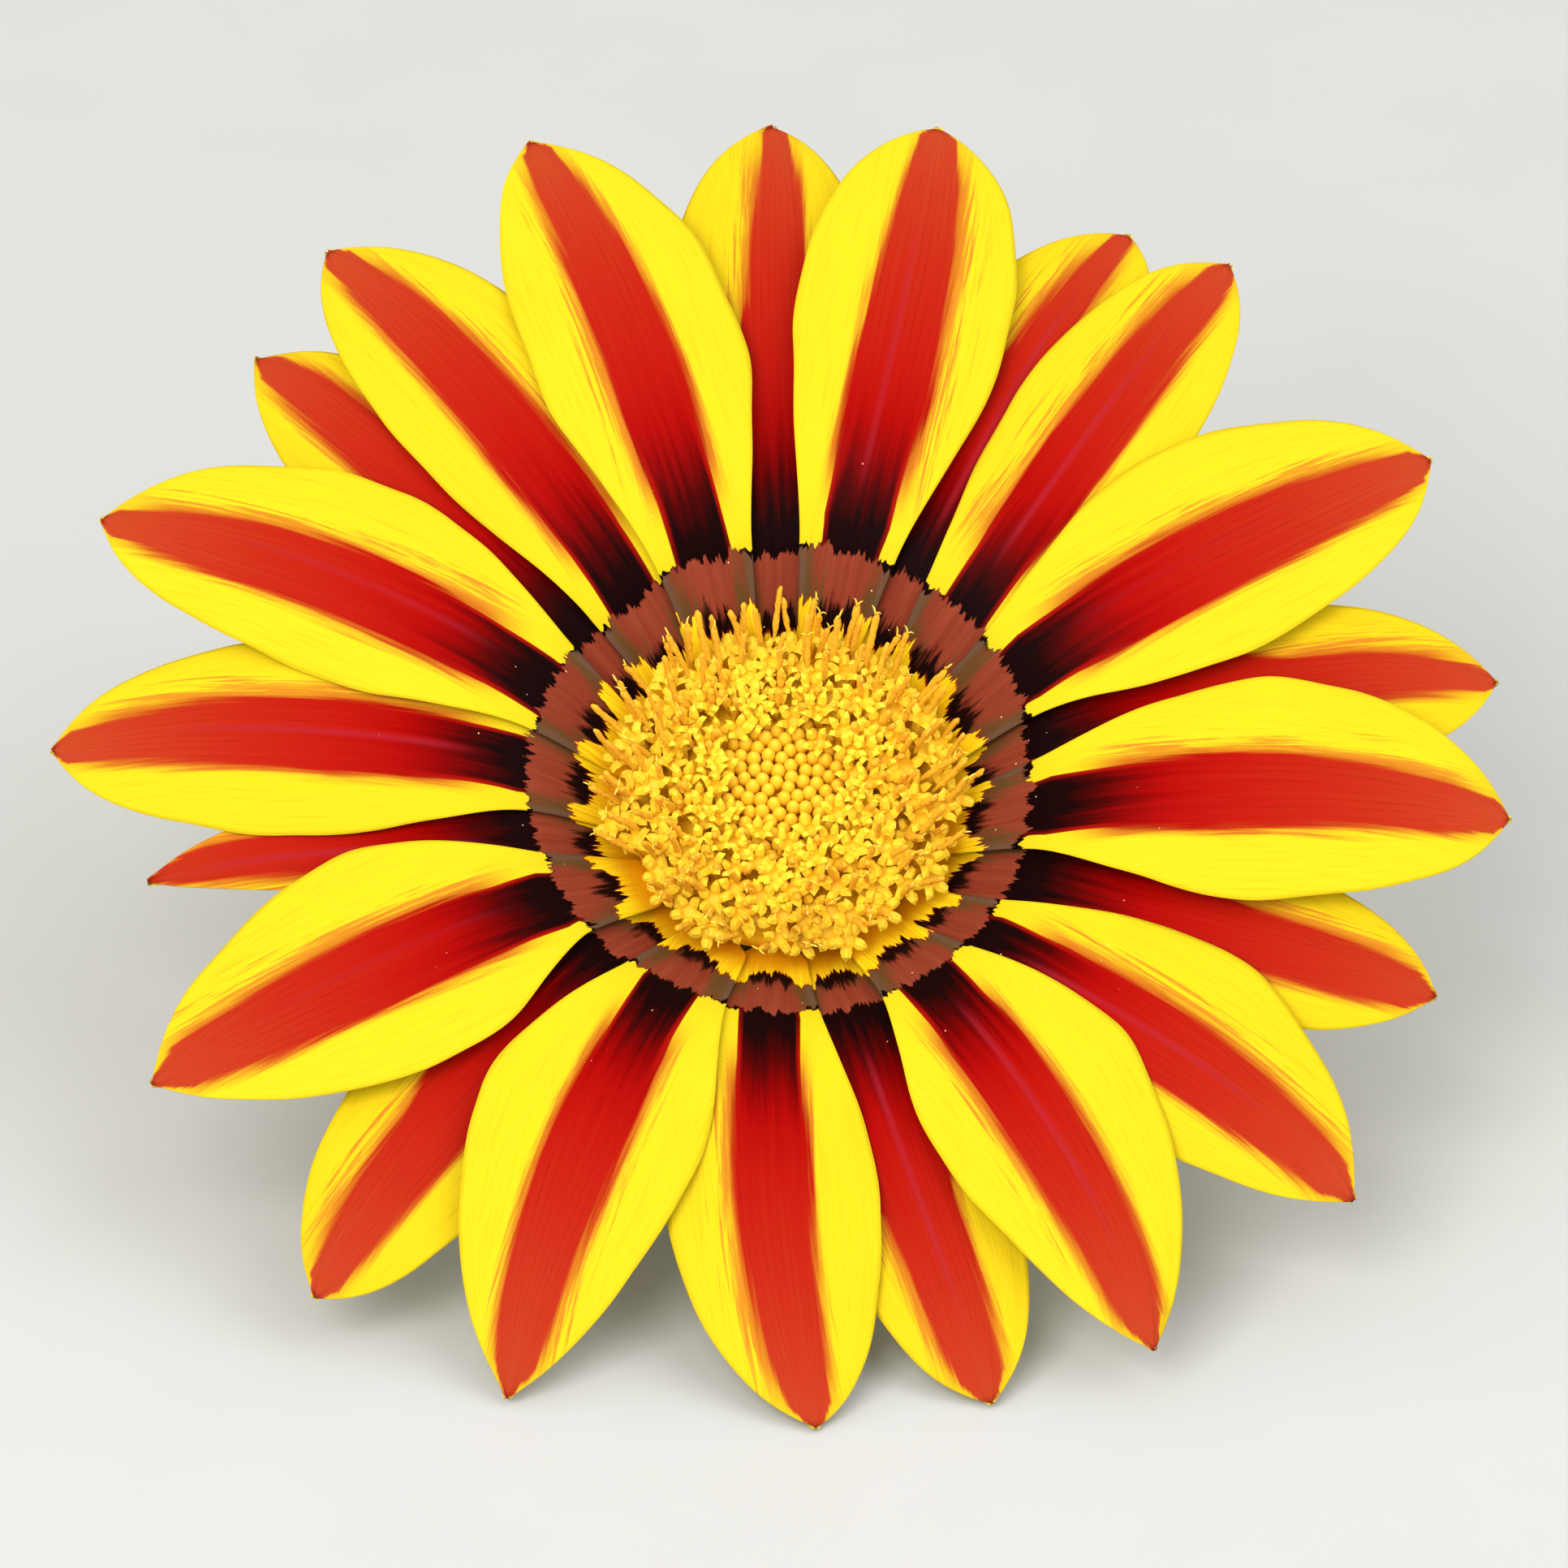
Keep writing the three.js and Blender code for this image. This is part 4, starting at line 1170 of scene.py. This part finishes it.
# %% [markdown]
# ## The stalk
# A gazania stands on a leafless stalk. Cut and laid down, it leaves the cup along the flower's axis, sinks
# to the table in a soft bend and lies there in a slight curve. A grid rolled to a tube follows that line:
# its columns run round the stalk, its rows along it. The cut end shows pale pith inside a green ring.

# %% The line that the stalk follows
LIE_HEIGHT = 1.8
NECK_SLOPE = math.radians(90) - FACE_TILT
STALK_REACH = 88.5
STALK_END = HEAD_Y + STALK_REACH
neck = (HEAD @ Vector((0, 0, CUP_BOTTOM))) / MM
bend_radius = (neck.z - LIE_HEIGHT) / (1 - math.cos(NECK_SLOPE))
bend_length = bend_radius * NECK_SLOPE
touch_y = neck.y + bend_radius * math.sin(NECK_SLOPE)
lying_length = STALK_END - touch_y


def stalk_point(run):
    """The stalk's middle line at a distance from the cup, in mm."""
    if run < bend_length:
        left = NECK_SLOPE - run / bend_radius
        y = neck.y + bend_radius * (math.sin(NECK_SLOPE) - math.sin(left))
        return Vector((neck.x, y, LIE_HEIGHT + bend_radius * (1 - math.cos(left))))
    share = (run - bend_length) / lying_length
    sideways = 2.6 * math.sin(share * math.pi * 1.35) * math.sqrt(share)
    return Vector((neck.x + sideways, touch_y + lying_length * share, LIE_HEIGHT))


stalk_length = bend_length + lying_length
print("stalk length in mm:", round(stalk_length, 1))

# %% The stalk
STALK_SIDES, STALK_ROWS = 28, 120
NECK_RADIUS, END_RADIUS = 1.5, 1.72

bm = bmesh.new()
bmesh.ops.create_grid(bm, x_segments=STALK_SIDES, y_segments=STALK_ROWS, size=1)
around_layer, run_layer, rim_layer = (keep_number(bm, name) for name in ("around", "run", "rim"))
for vert in bm.verts:
    angle = vert.co.x * math.pi
    share = (vert.co.y + 1) / 2
    run = share * stalk_length
    middle = stalk_point(run)
    ahead = (stalk_point(min(run + 0.2, stalk_length)) - stalk_point(max(run - 0.2, 0))).normalized()
    sideways = ahead.cross(Vector((0, 0, 1))).normalized()
    upward = sideways.cross(ahead)
    radius = between(NECK_RADIUS, END_RADIUS, share) + 0.8 * math.exp(-run / 1.6)
    radius *= 1 + 0.018 * math.sin(angle * 9) + 0.012 * noise.noise(Vector((run * 0.12, 0, 3)))
    vert[around_layer] = vert.co.x * 6
    vert[run_layer] = run
    vert[rim_layer] = 0
    vert.co = (middle + (sideways * math.cos(angle) + upward * math.sin(angle)) * radius) * MM
bmesh.ops.remove_doubles(bm, verts=bm.verts, dist=1e-7)
ends = [edge for edge in bm.edges if edge.is_boundary]
bmesh.ops.holes_fill(bm, edges=ends, sides=0)
bmesh.ops.recalc_face_normals(bm, faces=bm.faces)
cut = max(bm.faces, key=lambda face: face.calc_center_median().y)
for border, inward in ((0.28, 0.0), (0.8, -0.12)):
    bmesh.ops.inset_region(bm, faces=[cut], thickness=border * MM, depth=inward * MM)
    for vert in cut.verts:
        vert[rim_layer] = 1
stalk = finish_piece("scape_stalk", bm, [stalk_green], ["scape"])
print("stalk faces:", len(stalk.data.polygons))

# %% [markdown]
# ## Floor, light and camera
# A pale floor and soft light keep the colours honest. One soft lamp in front on the left and a weaker,
# wider one on the right model the petals, and an even pale sky fills the shadows. The camera looks down at
# the face with a long lens, from far away, so that the rays aren't stretched. Colours go out unchanged,
# without a film curve that would fade the yellow.

# %% The floor
FLOOR_REACH = 1.6

bm = bmesh.new()
bmesh.ops.create_grid(bm, x_segments=1, y_segments=1, size=FLOOR_REACH)
floor_mesh = bpy.data.meshes.new("floor")
bm.to_mesh(floor_mesh)
bm.free()
floor = bpy.data.objects.new("floor", floor_mesh)
bpy.context.scene.collection.objects.link(floor)
floor_paper, tree, shader = new_material("floor_paper", roughness=0.8, specular=0.2)
paper = cloud(tree, object_place(tree), scale=60.0, detail=2.0)
feed(tree, shader.inputs["Base Color"], paint(tree, paper, linear(196, 196, 192), linear(201, 201, 198)))
floor.data.materials.append(floor_paper)
print("floor in m:", [round(value, 2) for value in floor.dimensions])


# %% The lamps and the sky
def add_lamp(name, place, target, size, power, colour):
    """A square soft lamp, aimed at a point. Places are in metres."""
    lamp = bpy.data.lights.new(name, "AREA")
    lamp.size = size
    lamp.energy = power
    lamp.color = colour
    holder = bpy.data.objects.new(name, lamp)
    holder.location = place
    holder.rotation_euler = (Vector(target) - Vector(place)).to_track_quat("-Z", "Y").to_euler()
    bpy.context.scene.collection.objects.link(holder)


add_lamp("key", (-0.28, -0.58, 0.58), HEAD_PLACE, 0.5, 5.1, (1.0, 0.985, 0.96))
add_lamp("fill", (0.5, -0.3, 0.6), HEAD_PLACE, 0.7, 2.6, (0.97, 0.985, 1.0))
sky = bpy.data.worlds.new("studio")
sky.use_nodes = True
sky.node_tree.nodes["Background"].inputs["Color"].default_value = (1.0, 1.0, 1.0, 1.0)
sky.node_tree.nodes["Background"].inputs["Strength"].default_value = 0.84
bpy.context.scene.world = sky
bpy.context.scene.view_settings.view_transform = "Standard"
print("lamps:", {lamp.name: round(lamp.energy, 1) for lamp in bpy.data.lights})

# %% The camera
CAMERA_ELEVATION = math.radians(32)
CAMERA_DISTANCE = 0.63
AIM_RIGHT, AIM_DOWN = 0.05, 0.28
lens = bpy.data.cameras.new("camera")
lens.sensor_width = 36
lens.lens = 250
lens.clip_start = 0.05
lens.clip_end = 20
camera = bpy.data.objects.new("camera", lens)
back = Vector((0, -math.cos(CAMERA_ELEVATION), math.sin(CAMERA_ELEVATION)))
camera_up = Vector((0, math.sin(CAMERA_ELEVATION), math.cos(CAMERA_ELEVATION)))
aim_shift = Vector((1, 0, 0)) * AIM_RIGHT * MM - camera_up * AIM_DOWN * MM
camera.location = HEAD_PLACE + back * CAMERA_DISTANCE + aim_shift
camera.rotation_euler = (-back).to_track_quat("-Z", "Y").to_euler()
bpy.context.scene.collection.objects.link(camera)
bpy.context.scene.camera = camera
print("camera in m:", [round(value, 3) for value in camera.location])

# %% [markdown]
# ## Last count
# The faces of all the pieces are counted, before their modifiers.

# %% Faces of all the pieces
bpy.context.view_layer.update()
faces = sum(len(piece.data.polygons) for piece in ALL_PIECES)
print("pieces:", len(ALL_PIECES), "faces before modifiers:", faces)
